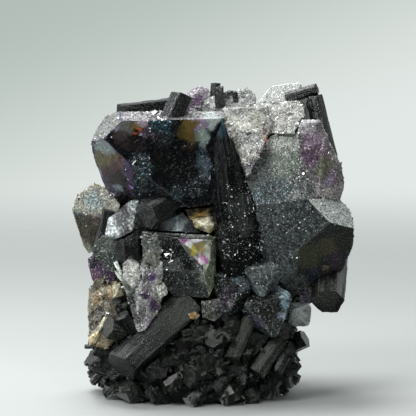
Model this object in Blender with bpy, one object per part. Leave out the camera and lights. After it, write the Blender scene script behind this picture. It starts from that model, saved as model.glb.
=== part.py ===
"""A small group of phantom fluorite crystals and black schorl prisms on a little feldspar rock.

+X is to the right, +Y to the back and +Z up, seen from the front. Every crystal is a solid bounded by
flat faces. Crystals are grown one after the other: each one keeps clear, by GAP, of all that were grown
before it, so the first ones are whole and the rock is what is left between them.
"""
import math
import random

import bmesh
import bpy
from mathutils import Matrix, Vector

# Driving dimensions, in millimetres
MM = 0.001
GAP = 0.3
REACH = 60.0
FRONT = -12.0
FLOOR = 0.0
SEED = 7

# Colour, roughness and metallic value of each kind of piece
LOOKS = {
    "phantom fluorite": ((0.10, 0.07, 0.12), 0.12, 0.0),
    "frosted fluorite": ((0.30, 0.34, 0.33), 0.45, 0.0),
    "purple fluorite": ((0.20, 0.09, 0.22), 0.35, 0.0),
    "schorl": ((0.012, 0.013, 0.014), 0.25, 0.0),
    "feldspar": ((0.55, 0.52, 0.46), 0.70, 0.0),
}


def clear_scene():
    """Remove the objects of the open file."""
    for thing in list(bpy.data.objects):
        bpy.data.objects.remove(thing, do_unlink=True)


def make_material(name):
    """Principled material of one kind of piece."""
    colour, roughness, metallic = LOOKS[name]
    material = bpy.data.materials.new(name)
    material.use_nodes = True
    shader = material.node_tree.nodes["Principled BSDF"]
    shader.inputs["Base Color"].default_value = (*colour, 1.0)
    shader.inputs["Roughness"].default_value = roughness
    shader.inputs["Metallic"].default_value = metallic
    material.diffuse_color = (*colour, 1.0)
    return material


# Faces: a face is a point on it and its outward direction

def facing(azimuth, elevation):
    """Direction of a face: azimuth 0 looks to the front, 90 to the right; elevation 90 looks up."""
    turn = math.radians(azimuth)
    rise = math.radians(elevation)
    return Vector((math.sin(turn) * math.cos(rise), -math.cos(turn) * math.cos(rise), math.sin(rise)))


def face(azimuth, elevation, point):
    """Flat face through a point, looking in a direction."""
    return Vector(point), facing(azimuth, elevation)


def face_on(first, second, third, inside):
    """Flat face through three corners, looking away from a point inside the crystal."""
    a, b, c = Vector(first), Vector(second), Vector(third)
    normal = (b - a).cross(c - a).normalized()
    if normal.dot(Vector(inside) - a) > 0:
        normal.negate()
    return a, normal


def sides(outline, y, draft=10.0):
    """Side faces of an outline seen from the front, its corners (x, z) in anticlockwise order at depth y.

    The sides close in towards the back by the draft, in degrees.
    """
    lean = math.radians(draft)
    faces = []
    for (x, z), (next_x, next_z) in zip(outline, outline[1:] + outline[:1]):
        across = Vector((next_z - z, 0.0, x - next_x)).normalized()
        normal = across * math.cos(lean) + Vector((0.0, math.sin(lean), 0.0))
        faces.append((Vector((x, y, z)), normal))
    return faces


def octahedron(centre, size, azimuth, elevation, turn, cube=1.35):
    """Faces of a fluorite octahedron with its corners cut by the cube.

    size is the distance from the centre to each of the eight faces. One of them looks in the direction
    (azimuth, elevation), and turn rolls the crystal about that direction. cube times size is the
    distance of the six cube faces.
    """
    middle = Vector(centre)
    corner = Vector((1.0, 1.0, 1.0)).normalized()
    place = corner.rotation_difference(facing(azimuth, elevation)).to_matrix()
    roll = Matrix.Rotation(math.radians(turn), 3, facing(azimuth, elevation))
    faces = []
    for x in (-1, 1):
        for y in (-1, 1):
            for z in (-1, 1):
                normal = roll @ place @ Vector((x, y, z)).normalized()
                faces.append((middle + normal * size, normal))
    for axis in range(3):
        for sign in (-1, 1):
            normal = Vector((0.0, 0.0, 0.0))
            normal[axis] = sign
            normal = roll @ place @ normal
            faces.append((middle + normal * size * cube, normal))
    return faces


def prism(foot, tip, width, turn=0.0, end="point", flat=1.0, tip_width=None):
    """Faces of a schorl prism from its foot to its tip.

    The prism has six long faces, three of them a little farther out, as the trigonal crystal has. flat
    squeezes it to a lath, and tip_width is its width near the tip where it narrows. It ends in three
    low pyramid faces ("point"), in one flat face ("flat") or in a slanted break ("break").
    """
    start, stop = Vector(foot), Vector(tip)
    length = (stop - start).length
    axis = (stop - start) / length
    narrowing = math.atan2(width - (tip_width or width), 2.0 * length)
    basis = axis.to_track_quat("Z", "Y").to_matrix()
    faces = [(start, -axis)]
    for step in range(6):
        angle = math.radians(turn + 60.0 * step)
        out = basis @ Vector((math.cos(angle), math.sin(angle), 0.0))
        squeeze = flat if step % 3 else 1.0
        distance = 0.5 * width * squeeze * (1.0 if step % 2 else 1.06)
        normal = out * math.cos(narrowing) + axis * math.sin(narrowing)
        faces.append((start + out * distance, normal))
    if end == "flat":
        faces.append((stop, axis))
    if end == "break":
        slant = basis @ Vector((math.cos(math.radians(turn)), math.sin(math.radians(turn)), 0.0))
        faces.append((stop, (axis + slant * 0.35).normalized()))
    if end == "point":
        for step in range(3):
            angle = math.radians(turn + 30.0 + 120.0 * step)
            out = basis @ Vector((math.cos(angle), math.sin(angle), 0.0))
            faces.append((stop, (axis * 0.88 + out * 0.47).normalized()))
    return faces


# Solids: meshes in millimetres, cut by each other and put down in metres

def solid(faces, clearance=0.0):
    """Mesh object of the space inside all the faces, which are moved out by the clearance."""
    body = bmesh.new()
    bmesh.ops.create_cube(body, size=2.0 * REACH)
    for point, normal in faces:
        everything = body.verts[:] + body.edges[:] + body.faces[:]
        where = point + normal * clearance
        bmesh.ops.bisect_plane(body, geom=everything, dist=1e-5, plane_co=where, plane_no=normal,
                               clear_outer=True)
        rim = [edge for edge in body.edges if edge.is_boundary]
        if rim:
            bmesh.ops.holes_fill(body, edges=rim)
    bmesh.ops.remove_doubles(body, verts=body.verts, dist=0.002)
    bmesh.ops.recalc_face_normals(body, faces=body.faces)
    mesh = bpy.data.meshes.new("solid")
    body.to_mesh(mesh)
    body.free()
    thing = bpy.data.objects.new("solid", mesh)
    bpy.context.scene.collection.objects.link(thing)
    return thing


def reach(faces):
    """Lowest and highest corner of the solid inside the faces, a little enlarged."""
    thing = solid(faces)
    corners = [vertex.co.copy() for vertex in thing.data.vertices]
    bpy.data.objects.remove(thing, do_unlink=True)
    low = Vector([min(corner[axis] for corner in corners) - 2.0 * GAP for axis in range(3)])
    high = Vector([max(corner[axis] for corner in corners) + 2.0 * GAP for axis in range(3)])
    return low, high


def boxes_meet(first, second):
    """Whether two boxes, each a lowest and a highest corner, overlap."""
    return all(first[0][axis] < second[1][axis] and second[0][axis] < first[1][axis] for axis in range(3))


def combine(thing, other, operation):
    """Join or cut a solid with another one, which is used up."""
    other.hide_render = True
    other.display_type = "WIRE"
    modifier = thing.modifiers.new(operation, "BOOLEAN")
    modifier.operation = operation
    modifier.solver = "EXACT"
    modifier.object = other
    graph = bpy.context.evaluated_depsgraph_get()
    result = bpy.data.meshes.new_from_object(thing.evaluated_get(graph), depsgraph=graph)
    thing.modifiers.clear()
    thing.data = result
    bpy.data.objects.remove(other, do_unlink=True)


def signed_volume(faces):
    """Volume inside a closed set of mesh faces."""
    total = 0.0
    for polygon in faces:
        first = polygon.verts[0].co
        for second, third in zip(polygon.verts[1:-1], polygon.verts[2:]):
            total += first.dot(second.co.cross(third.co)) / 6.0
    return total


def keep_largest(thing):
    """Drop the chips that a cut has parted from the main piece, and tidy its mesh."""
    body = bmesh.new()
    body.from_mesh(thing.data)
    bmesh.ops.remove_doubles(body, verts=body.verts, dist=0.002)
    bmesh.ops.dissolve_degenerate(body, edges=body.edges, dist=0.002)
    pieces = []
    waiting = set(body.faces)
    while waiting:
        piece = set()
        edge_of_piece = [waiting.pop()]
        while edge_of_piece:
            polygon = edge_of_piece.pop()
            piece.add(polygon)
            for edge in polygon.edges:
                for neighbour in edge.link_faces:
                    if neighbour in waiting:
                        waiting.remove(neighbour)
                        edge_of_piece.append(neighbour)
        pieces.append(piece)
    pieces.sort(key=signed_volume)
    chips = [polygon for piece in pieces[:-1] for polygon in piece]
    bmesh.ops.delete(body, geom=chips, context="FACES")
    body.to_mesh(thing.data)
    body.free()


GROWN = []
MATERIALS = {}


def grow(name, look, *shapes):
    """Grow one piece from one or more lists of faces, clear of all that was grown before it."""
    box = [reach(faces) for faces in shapes]
    thing = solid(shapes[0])
    for faces in shapes[1:]:
        combine(thing, solid(faces), "UNION")
    for earlier, earlier_box in GROWN:
        if any(boxes_meet(earlier_box, own) for own in box):
            combine(thing, solid(earlier, GAP), "DIFFERENCE")
    keep_largest(thing)
    GROWN.extend(zip(shapes, box))
    corners = [vertex.co for vertex in thing.data.vertices]
    middle = sum(corners, Vector()) / len(corners)
    thing.data.transform(Matrix.Translation(-middle))
    thing.data.transform(Matrix.Scale(MM, 4))
    thing.location = middle * MM
    thing.name = name
    thing.data.name = name
    if look not in MATERIALS:
        MATERIALS[look] = make_material(look)
    thing.data.materials.clear()
    thing.data.materials.append(MATERIALS[look])
    return thing


def grow_front_schorl():
    """The black prisms that are seen from the front, which all keep their whole shape."""
    # The spear: a ridge runs down its front, and it narrows all the way to its tip
    ridge_top = (1.3, -11.6, 42.3)
    ridge_foot = (3.2, -14.8, 23.5)
    heart = (3.0, -9.0, 28.0)
    spear = sides([(2.2, 22.4), (7.0, 22.8), (7.0, 26.3), (1.4, 42.4), (-0.2, 38.1),
                   (-0.2, 31.2)], -12.0, 4.0)
    spear.append(face_on(ridge_top, ridge_foot, (-0.2, -11.8, 31.0), heart))
    spear.append(face_on(ridge_top, ridge_foot, (7.0, -11.8, 25.0), heart))
    spear.append(face(-150, 4, (3.0, -6.6, 28.0)))
    spear.append(face(150, 4, (3.0, -6.6, 28.0)))
    spear_foot = prism((3.4, -8.4, 19.6), (2.9, -11.4, 24.6), 4.8, 25.0, "break")
    grow("schorl_spear", "schorl", spear, spear_foot)

    # The block on the phantom crystal, leaning to the right
    grow("schorl_top_block", "schorl", prism((-7.6, -9.2, 38.6), (-4.5, -9.2, 45.3), 3.2, 20.0, "break"))

    # The prism seen end-on, and the silver and black ones left of it
    grow("schorl_end_on", "schorl", prism((-4.0, -7.2, 31.2), (-9.7, -12.9, 28.2), 3.9, 10.0, "flat"))
    silver = sides([(-15.8, 25.2), (-14.4, 24.7), (-11.6, 26.0), (-10.6, 30.4), (-11.9, 30.4), (-15.4, 27.7)],
                   -11.4, 6.0)
    silver.append(face(-28, 12, (-13.4, -12.2, 27.0)))
    silver.append(face(24, 8, (-12.4, -12.4, 27.0)))
    silver.append(face(180, 0, (-13.0, -7.0, 27.0)))
    grow("schorl_silver", "schorl", silver)
    under_silver = prism((-12.0, -10.4, 19.6), (-12.5, -10.9, 26.4), 3.5, 35.0, "break")
    grow("schorl_under_silver", "schorl", under_silver)
    grow("schorl_left_thin", "schorl", prism((-17.4, -4.4, 19.6), (-15.4, -5.0, 28.4), 1.9, 15.0, "flat"))

    # The block at the lower right, and the three bars and the stub below it
    grow("schorl_right_block", "schorl", prism((17.8, 0.2, 20.6), (16.9, -7.0, 14.9), 4.5, 35.0, "flat"))
    grow("schorl_bar_long", "schorl", prism((5.9, -8.8, 13.8), (2.7, -10.4, 6.8), 2.2, 5.0, "break"))
    grow("schorl_bar_middle", "schorl", prism((9.6, -7.2, 9.4), (6.2, -9.6, 4.6), 2.6, 50.0, "flat"))
    grow("schorl_bar_short", "schorl", prism((11.4, -6.2, 8.8), (9.1, -8.6, 4.6), 2.1, 10.0, "flat"))
    grow("schorl_stub", "schorl", prism((10.6, -3.6, 7.6), (13.7, -6.0, 9.4), 2.6, 20.0, "break"))

    # The long prism that lies along the lower left, and the two blocks above its edge
    grow("schorl_long", "schorl", prism((-3.0, -8.6, 15.4), (-13.4, -11.0, 5.9), 5.2, 0.0, "break", 0.9))
    grow("schorl_left_block", "schorl", prism((-11.2, -8.2, 10.2), (-15.4, -10.6, 11.7), 3.0, 15.0, "flat"))
    grow("schorl_left_stub", "schorl", prism((-10.9, -9.8, 9.9), (-13.3, -11.4, 13.6), 2.0, 5.0, "flat"))

    # Behind the top edge
    grow("schorl_top_lying", "schorl", prism((-4.6, 4.4, 43.4), (-14.6, 1.2, 42.3), 2.7, 20.0, "point"))
    grow("schorl_top_rod", "schorl", prism((11.0, 3.4, 44.5), (16.1, 2.2, 46.1), 1.7, 0.0, "point"))
    grow("schorl_top_upright", "schorl", prism((17.4, 0.6, 35.6), (15.0, 2.6, 45.3), 2.5, 30.0, "point"))
    grow("schorl_top_rear", "schorl", prism((0.0, 6.8, 39.0), (0.5, 8.0, 46.7), 1.6, 10.0, "flat"))


def grow_front_fluorite():
    """The fluorite crystals that are seen from the front."""
    # The phantom crystal: a nearly square front window, a coloured facet low on the left, a frosted one
    # high on the left and a frosted top
    window_corner = (-15.8, -12.6, 39.3)
    lower_corner = (-12.2, -12.6, 35.8)
    top_corner = (-13.8, -12.2, 41.3)
    heart = (-8.0, -4.0, 36.0)
    phantom = sides([(-16.7, 30.1), (-4.3, 29.7), (1.0, 30.4), (1.5, 43.1), (-14.6, 43.1), (-16.4, 42.4),
                     (-17.4, 40.2), (-17.9, 36.9)], -8.6, 7.0)
    phantom.append(face(5, 5, (-6.0, FRONT, 36.0)))
    phantom.append(face_on(window_corner, lower_corner, (-17.8, -8.2, 37.7), heart))
    phantom.append(face_on(window_corner, top_corner, (-17.4, -6.0, 40.4), heart))
    phantom.append(face_on(lower_corner, (-13.4, -6.0, 31.2), (-4.5, -12.4, 30.0), heart))
    phantom.append(face(0, 74, (-8.0, FRONT, 41.9)))
    phantom.append(face(150, 20, (-6.0, 4.0, 36.0)))
    phantom.append(face(-150, 10, (-12.0, 3.5, 36.0)))
    phantom.append(face(180, -35, (-8.0, 4.0, 33.0)))
    grow("fluorite_phantom", "phantom fluorite", phantom)

    # The frosted crystal high on the right, its front face leaning back
    upper = sides([(7.0, 28.4), (16.8, 28.4), (16.4, 37.6), (12.8, 40.4),
                   (8.4, 39.9), (4.1, 34.3)], -9.0, 8.0)
    upper.append(face(8, 27, (10.0, -10.6, 29.5)))
    upper.append(face(170, 10, (10.0, 4.0, 34.0)))
    upper.append(face(-130, 20, (6.0, 0.0, 34.0)))
    grow("fluorite_right_upper", "frosted fluorite", upper)

    # The big crystal low on the right: a frosted front and a smooth window that looks down to the right
    heart = (13.0, -4.0, 24.0)
    lower = sides([(8.6, 20.4), (10.6, 16.4), (17.2, 16.2), (19.6, 19.1), (20.6, 23.2), (20.5, 24.9),
                   (20.0, 28.6), (18.2, 30.3), (7.0, 29.0), (7.0, 23.0)], -7.0, 9.0)
    lower.append(face(-3, -12, (12.0, -11.5, 26.0)))
    lower.append(face_on((9.9, -10.4, 21.0), (16.9, -11.9, 27.0), (20.4, -6.2, 22.0), heart))
    lower.append(face(45, 30, (17.4, -11.2, 27.6)))
    lower.append(face(165, 15, (12.0, 3.0, 24.0)))
    lower.append(face(-160, -25, (12.0, 2.0, 22.0)))
    grow("fluorite_right_lower", "frosted fluorite", lower)

    # The purple chunks on the right edge
    chunk = sides([(16.2, 28.6), (17.3, 30.6), (16.9, 37.6), (15.8, 41.9), (13.0, 41.9), (12.3, 40.2),
                   (13.0, 36.0)], -8.4, 5.0)
    chunk.append(face(12, 14, (14.5, -9.8, 36.0)))
    chunk.append(face(10, 55, (14.5, -8.9, 41.2)))
    chunk.append(face(50, 5, (16.4, -8.8, 36.0)))
    chunk.append(face(180, 0, (15.0, -1.0, 36.0)))
    edge_chunk = sides([(16.8, 29.2), (18.4, 30.0), (19.2, 32.0), (18.8, 35.1), (17.4, 37.5), (16.4, 38.6),
                        (15.4, 33.0)], -7.2, 6.0)
    edge_chunk.append(face(30, 8, (17.4, -8.6, 34.0)))
    edge_chunk.append(face(180, 10, (17.0, -0.5, 34.0)))
    grow("fluorite_purple_edge", "purple fluorite", chunk, edge_chunk)

    # The crystal in the middle: a dark face, a glassy one right of it and a green side
    ridge_top = (-5.1, -12.6, 25.3)
    ridge_foot = (-1.7, -13.4, 20.0)
    heart = (-5.0, -8.0, 21.0)
    centre = sides([(-6.4, 16.2), (-0.8, 16.2), (0.5, 18.0), (0.5, 24.7), (-0.3, 25.1), (-10.4, 25.7),
                    (-10.4, 21.4), (-8.6, 19.4)], -10.5, 6.0)
    centre.append(face_on(ridge_top, ridge_foot, (-10.4, -11.4, 24.8), heart))
    centre.append(face_on(ridge_top, ridge_foot, (-0.7, -12.3, 24.9), heart))
    centre.append(face_on((-0.8, -12.2, 24.8), (-1.2, -13.0, 20.0), (0.5, -9.6, 22.0), heart))
    centre.append(face_on((-8.2, -12.1, 20.8), ridge_foot, (-5.0, -10.6, 16.4), heart))
    centre.append(face(0, 60, (-5.0, -12.2, 25.2)))
    centre.append(face(180, 0, (-5.0, -3.0, 21.0)))
    grow("fluorite_centre", "phantom fluorite", centre)

    # The white and purple crystal beside it, with its tail
    white = sides([(-12.4, 15.7), (-9.2, 14.6), (-7.3, 15.9), (-7.3, 21.6), (-10.6, 23.1), (-13.2, 21.5),
                   (-13.5, 18.6)], -10.6, 8.0)
    white.append(face(-14, 14, (-10.4, -12.2, 19.4)))
    white.append(face(30, -20, (-9.0, -12.2, 18.4)))
    white.append(face(-50, -10, (-12.4, -11.6, 19.0)))
    white.append(face(180, 0, (-10.0, -5.0, 19.0)))
    tail = sides([(-11.6, 11.6), (-10.4, 10.8), (-7.4, 14.2), (-8.0, 16.6), (-10.6, 16.4)], -10.8, 6.0)
    tail.append(face(-20, 5, (-10.0, -11.8, 14.0)))
    tail.append(face(35, 0, (-9.4, -11.8, 14.0)))
    tail.append(face(180, 0, (-10.0, -6.0, 14.0)))
    grow("fluorite_white_purple", "purple fluorite", white, tail)

    # The small grey pyramid under the phantom crystal
    pyramid = sides([(-8.1, 25.4), (-2.0, 25.0), (-1.8, 25.9), (-5.1, 29.0), (-7.5, 26.9)], -9.4, 5.0)
    pyramid.append(face(-28, 32, (-5.3, -9.2, 28.4)))
    pyramid.append(face(26, 34, (-5.3, -9.2, 28.4)))
    pyramid.append(face(8, 4, (-4.6, -10.9, 25.8)))
    pyramid.append(face(180, 0, (-5.0, -4.0, 27.0)))
    grow("fluorite_pyramid", "frosted fluorite", pyramid)

    # The frosted triangle below the spear, the dark crystal below that, and the small clear one
    grow("fluorite_triangle", "frosted fluorite", octahedron((7.0, -10.0, 19.2), 2.2, 0, 2, 105, 1.6))
    grow("fluorite_radiating", "phantom fluorite", octahedron((7.9, -8.8, 14.3), 3.0, 10, -8, 20, 1.5))
    grow("fluorite_dark_purple", "purple fluorite", octahedron((3.0, -8.4, 17.2), 3.0, -15, 5, 70, 1.5))
    grow("fluorite_clear", "frosted fluorite", octahedron((12.8, -6.4, 13.0), 1.5, 30, 10, 20, 1.4))

    # The three crystals at the left edge
    pale = sides([(-19.3, 22.4), (-18.7, 21.5), (-17.2, 22.2), (-14.4, 29.0), (-16.6, 31.6), (-17.9, 31.8),
                  (-20.4, 30.0), (-20.9, 28.2)], 0.0, 8.0)
    pale.append(face(-25, 22, (-18.6, -2.6, 28.0)))
    pale.append(face(-30, -16, (-18.6, -2.6, 26.8)))
    pale.append(face(175, 0, (-18.0, 7.0, 27.0)))
    pale.append(face(-140, 15, (-20.4, 4.0, 27.0)))
    grow("fluorite_left_pale", "frosted fluorite", pale)
    green = sides([(-17.0, 21.4), (-15.4, 20.0), (-13.2, 20.0), (-13.2, 24.2), (-16.2, 24.5), (-17.7, 22.6)],
                  -5.0, 8.0)
    green.append(face(-18, 8, (-15.4, -7.4, 21.8)))
    green.append(face(180, 0, (-15.0, 0.0, 22.0)))
    grow("fluorite_left_green", "frosted fluorite", green)
    purple = sides([(-17.3, 16.9), (-15.2, 18.0), (-14.6, 20.2), (-17.6, 21.8), (-18.7, 21.0), (-17.9, 18.5)],
                   -3.6, 8.0)
    purple.append(face(-30, 5, (-17.2, -5.6, 19.4)))
    purple.append(face(180, 0, (-16.0, 2.0, 19.4)))
    grow("fluorite_left_purple", "purple fluorite", purple)

    # The two behind the top edge
    grow("fluorite_top_rear", "purple fluorite", octahedron((-2.1, 8.6, 43.2), 2.3, 10, 15, 30, 1.3))
    pale_top = sides([(6.9, 38.0), (15.0, 38.0), (14.4, 44.4), (13.2, 46.8),
                      (8.9, 46.3), (7.0, 43.8)], 6.4, 8.0)
    pale_top.append(face(-10, 30, (10.5, 4.6, 44.0)))
    pale_top.append(face(30, 10, (12.4, 4.6, 44.0)))
    pale_top.append(face(180, 20, (10.5, 11.0, 42.0)))
    grow("fluorite_top_pale", "frosted fluorite", pale_top)


def grow_back():
    """The back, of the same kinds as the front: fluorite octahedra with schorl between them."""
    grow("schorl_back_long", "schorl", prism((3.6, 3.0, 24.0), (0.6, 13.6, 36.6), 4.4, 20.0, "point"))
    grow("schorl_back_left", "schorl", prism((-9.0, 3.0, 16.0), (-15.4, 11.4, 19.4), 3.2, 0.0, "point"))
    grow("schorl_back_low", "schorl", prism((4.0, 3.0, 12.0), (9.6, 12.8, 10.4), 3.4, 30.0, "break"))
    grow("fluorite_back_upper", "phantom fluorite", octahedron((-7.6, 6.8, 34.4), 6.0, 170, 5, 40))
    grow("fluorite_back_right", "frosted fluorite", octahedron((10.4, 6.2, 31.4), 6.2, 160, 10, 15))
    grow("fluorite_back_middle", "frosted fluorite", octahedron((-2.4, 8.0, 22.6), 5.6, -175, 0, 65))
    grow("fluorite_back_side", "purple fluorite", octahedron((-13.2, 4.6, 25.4), 4.6, -130, 12, 20))
    grow("fluorite_back_low", "purple fluorite", octahedron((12.4, 4.2, 19.0), 4.8, 145, -5, 50))


# The mat's middle, its half width at the floor, how much wider it gets upwards, its half depth in front
# and behind, and how far in the middle of each of its prisms lies
MAT_MIDDLE = Vector((-3.0, -0.8, 0.0))
MAT_HALF_WIDTH = 13.6
MAT_SPREAD = 0.1
MAT_DEPTHS = (9.8, 8.4)
MAT_SUNK = 0.9


def mat_prisms():
    """Short schorl prisms that lie all ways in the skin of the mat, in rows from the floor upwards."""
    pick = random.Random(SEED)
    prisms = []
    rows = ((1.8, 16), (4.6, 18), (7.4, 18), (10.2, 16), (12.8, 12))
    for height, count in rows:
        for step in range(count):
            angle = 2.0 * math.pi * (step + pick.uniform(-0.3, 0.3)) / count
            out = Vector((math.cos(angle), math.sin(angle), 0.0))
            along = Vector((-out.y, out.x, 0.0)) * pick.uniform(-1.0, 1.0)
            lean = out * pick.uniform(0.1, 0.9)
            rise = Vector((0.0, 0.0, pick.uniform(-0.8, 0.8)))
            axis = (along + lean + rise).normalized()
            width = MAT_HALF_WIDTH + MAT_SPREAD * height
            depth = MAT_DEPTHS[0] if out.y < 0.0 else MAT_DEPTHS[1]
            skin = Vector((out.x * width, out.y * depth, height + pick.uniform(-0.8, 0.8)))
            middle = MAT_MIDDLE + skin - out * MAT_SUNK
            half = axis * pick.uniform(1.5, 2.8)
            width = pick.uniform(1.7, 3.2)
            end = pick.choice(("flat", "break", "point"))
            prisms.append(prism(middle - half, middle + half, width, pick.uniform(0.0, 60.0), end))
    return prisms


def grow_rock():
    """The feldspar and the mat of schorl, which fill what the crystals leave."""
    # The rough silvery patch at the top, and the light lumps behind it
    rough = sides([(1.4, 37.0), (4.0, 33.2), (5.2, 34.0), (7.8, 38.6), (8.8, 41.4), (8.0, 43.7), (1.2, 43.5)],
                  -6.0, 3.0)
    rough.append(face(-12, 24, (5.0, -8.8, 38.0)))
    rough.append(face(30, 38, (6.6, -8.0, 40.0)))
    rough.append(face(180, 0, (5.0, 3.0, 40.0)))
    shelf = sides([(6.0, 39.8), (13.6, 39.6), (13.8, 43.6), (12.6, 44.8),
                   (8.0, 44.2), (5.0, 43.9)], -3.6, 3.0)
    shelf.append(face(5, 42, (9.0, -4.6, 41.4)))
    shelf.append(face(180, 0, (9.0, 4.6, 40.0)))
    grow("feldspar_top", "feldspar", rough, shelf)
    lump = sides([(-4.0, 38.0), (6.9, 38.0), (7.0, 43.4), (6.4, 45.2), (5.0, 45.9),
                  (1.8, 45.6), (-3.6, 43.2)],
                 7.0, 6.0)
    lump.append(face(0, 20, (2.0, 5.6, 43.0)))
    lump.append(face(180, 15, (2.0, 11.4, 42.0)))
    grow("feldspar_top_rear", "feldspar", lump)

    # The tan ledge at the left
    ledge = sides([(-18.4, 8.8), (-15.6, 8.2), (-12.6, 12.0), (-12.6, 16.0), (-14.8, 18.9), (-17.4, 18.4),
                   (-18.5, 16.4)], -5.2, 4.0)
    ledge.append(face(-25, 10, (-16.4, -7.6, 14.0)))
    ledge.append(face(15, 0, (-15.0, -8.0, 14.0)))
    ledge.append(face(180, 0, (-15.0, 3.0, 14.0)))
    grow("feldspar_left", "feldspar", ledge)

    # The mat of schorl along the bottom, cut flat where the group rests
    left = sides([(-12.4, -1.0), (0.0, -1.0), (2.0, 15.0), (-9.6, 15.0), (-16.8, 10.6), (-17.4, 7.0),
                  (-16.0, 2.4)], -7.0, 6.0)
    left.append(face(-16, -24, (-6.0, -9.6, 7.0)))
    left.append(face(-8, 12, (-6.0, -9.6, 7.0)))
    left.append(face(-140, 0, (-10.0, 5.6, 6.0)))
    left.append(face(172, 0, (-4.0, 7.6, 6.0)))
    right = sides([(-6.0, -1.0), (6.8, -1.0), (11.6, 3.0), (11.8, 12.4), (6.0, 17.0),
                   (-4.0, 16.0)], -6.6, 6.0)
    right.append(face(14, -24, (3.0, -8.8, 7.4)))
    right.append(face(8, 10, (3.0, -8.8, 7.4)))
    right.append(face(145, 0, (7.6, 5.6, 8.0)))
    right.append(face(-172, 0, (2.0, 7.2, 8.0)))
    floor = (Vector((0.0, 0.0, FLOOR)), Vector((0.0, 0.0, -1.0)))
    pieces = [faces + [floor] for faces in [left, right] + mat_prisms()]
    grow("schorl_mat", "schorl", *pieces)

    # The core of the rock
    core = sides([(-13.0, 14.0), (12.0, 14.0), (16.0, 24.0), (14.0, 39.0), (4.0, 42.4), (-12.0, 40.0),
                  (-15.6, 27.0)], -3.0, 4.0)
    core.append(face(0, -20, (0.0, -6.0, 22.0)))
    core.append(face(0, 20, (0.0, -6.0, 28.0)))
    core.append(face(-50, 0, (-10.0, -4.6, 26.0)))
    core.append(face(180, 25, (0.0, 7.6, 32.0)))
    core.append(face(180, -15, (0.0, 7.6, 22.0)))
    grow("feldspar_core", "feldspar", core)


def stand_on_origin():
    """Hang every piece under one empty, with the middle of the group's foot at the origin."""
    bpy.context.view_layer.update()
    nodes = [thing for thing in bpy.data.objects if thing.type == "MESH"]
    corners = [node.matrix_world @ vertex.co for node in nodes for vertex in node.data.vertices]
    low = [min(corner[axis] for corner in corners) for axis in range(3)]
    high = [max(corner[axis] for corner in corners) for axis in range(3)]
    stand = bpy.data.objects.new("specimen", None)
    bpy.context.scene.collection.objects.link(stand)
    for node in nodes:
        node.parent = stand
    stand.location = (-0.5 * (low[0] + high[0]), -0.5 * (low[1] + high[1]), -low[2])


def main():
    """Grow the whole group."""
    clear_scene()
    grow_front_schorl()
    grow_front_fluorite()
    grow_back()
    grow_rock()
    stand_on_origin()


main()
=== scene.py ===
import math

import bmesh
import bpy
import numpy as np
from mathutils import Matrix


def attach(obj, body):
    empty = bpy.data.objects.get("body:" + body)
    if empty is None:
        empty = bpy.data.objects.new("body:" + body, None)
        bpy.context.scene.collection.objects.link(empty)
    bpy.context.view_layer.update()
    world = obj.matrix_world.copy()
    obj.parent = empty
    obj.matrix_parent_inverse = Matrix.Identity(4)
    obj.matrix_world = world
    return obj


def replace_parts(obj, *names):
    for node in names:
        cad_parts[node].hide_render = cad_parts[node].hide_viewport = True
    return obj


# Phantom fluorite crystals and black schorl prisms on a little feldspar rock.
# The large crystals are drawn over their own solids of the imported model, and small ones grow on them. Lengths
# are in millimetres, with +X to the right, +Y to the back and +Z up. Each mesh is made in metres.
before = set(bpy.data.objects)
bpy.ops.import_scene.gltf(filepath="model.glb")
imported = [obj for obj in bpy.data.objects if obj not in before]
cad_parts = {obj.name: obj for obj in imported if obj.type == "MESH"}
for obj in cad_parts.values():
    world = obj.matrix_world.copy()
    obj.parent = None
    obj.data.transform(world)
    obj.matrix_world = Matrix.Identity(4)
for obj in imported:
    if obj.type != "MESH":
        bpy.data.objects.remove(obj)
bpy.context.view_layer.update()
MM = 0.001


# Camera
# It looks at the middle of the specimen from the front, five degrees above it, a third of a metre away.
VIEW_WIDTH = 62.4
VIEW_DISTANCE = 330.0
VIEW_RISE = math.radians(5.0)
VIEW_AIM = (-0.562, -0.028, 28.2)

lens = bpy.data.cameras.new("camera")
lens.sensor_width = 36.0
lens.lens = lens.sensor_width * VIEW_DISTANCE / VIEW_WIDTH
lens.clip_start = 0.01
lens.clip_end = 10.0
camera = bpy.data.objects.new("camera", lens)
camera.location = (
    VIEW_AIM[0] * MM,
    (VIEW_AIM[1] - VIEW_DISTANCE * math.cos(VIEW_RISE)) * MM,
    (VIEW_AIM[2] + VIEW_DISTANCE * math.sin(VIEW_RISE)) * MM,
)
camera.rotation_euler = (math.radians(90.0) - VIEW_RISE, 0.0, 0.0)
bpy.context.scene.collection.objects.link(camera)
bpy.context.scene.camera = camera


# Studio
# A pale round floor that fades out into an even, pale backdrop. Soft boxes stand above, in front and at the
# left, with a dim card at each side, and a small bright box makes the little faces glint.
def tone(red, green, blue, frost=None):
    """A colour for the render from its everyday values between 0 and 255, by the sRGB curve. frost is kept as
    a fourth value."""
    shares = np.array([red, green, blue]) / 255.0
    low = shares / 12.92
    high = ((shares + 0.055) / 1.055) ** 2.4
    colour = tuple(float(v) for v in np.where(shares <= 0.04045, low, high))
    return colour if frost is None else (*colour, frost)


class Wire:
    """One output of a material's node. Sums and products with it add Math nodes."""

    def __init__(self, finish, socket):
        self.finish = finish
        self.socket = socket

    def math(self, operation, first, second):
        """A Math node on two values."""
        return self.finish.node("Math", {"operation": operation}, {0: first, 1: second})

    def __add__(self, other):
        return self.math("ADD", self, other)

    def __radd__(self, other):
        return self.math("ADD", other, self)

    def __sub__(self, other):
        return self.math("SUBTRACT", self, other)

    def __mul__(self, other):
        return self.math("MULTIPLY", self, other)

    def between(self, low, high):
        """0 up to low, 1 from high on, and a smooth rise in between."""
        values = {"Value": self, "From Min": low, "From Max": high}
        return self.finish.node("MapRange", {"interpolation_type": "SMOOTHSTEP"}, values)


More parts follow.
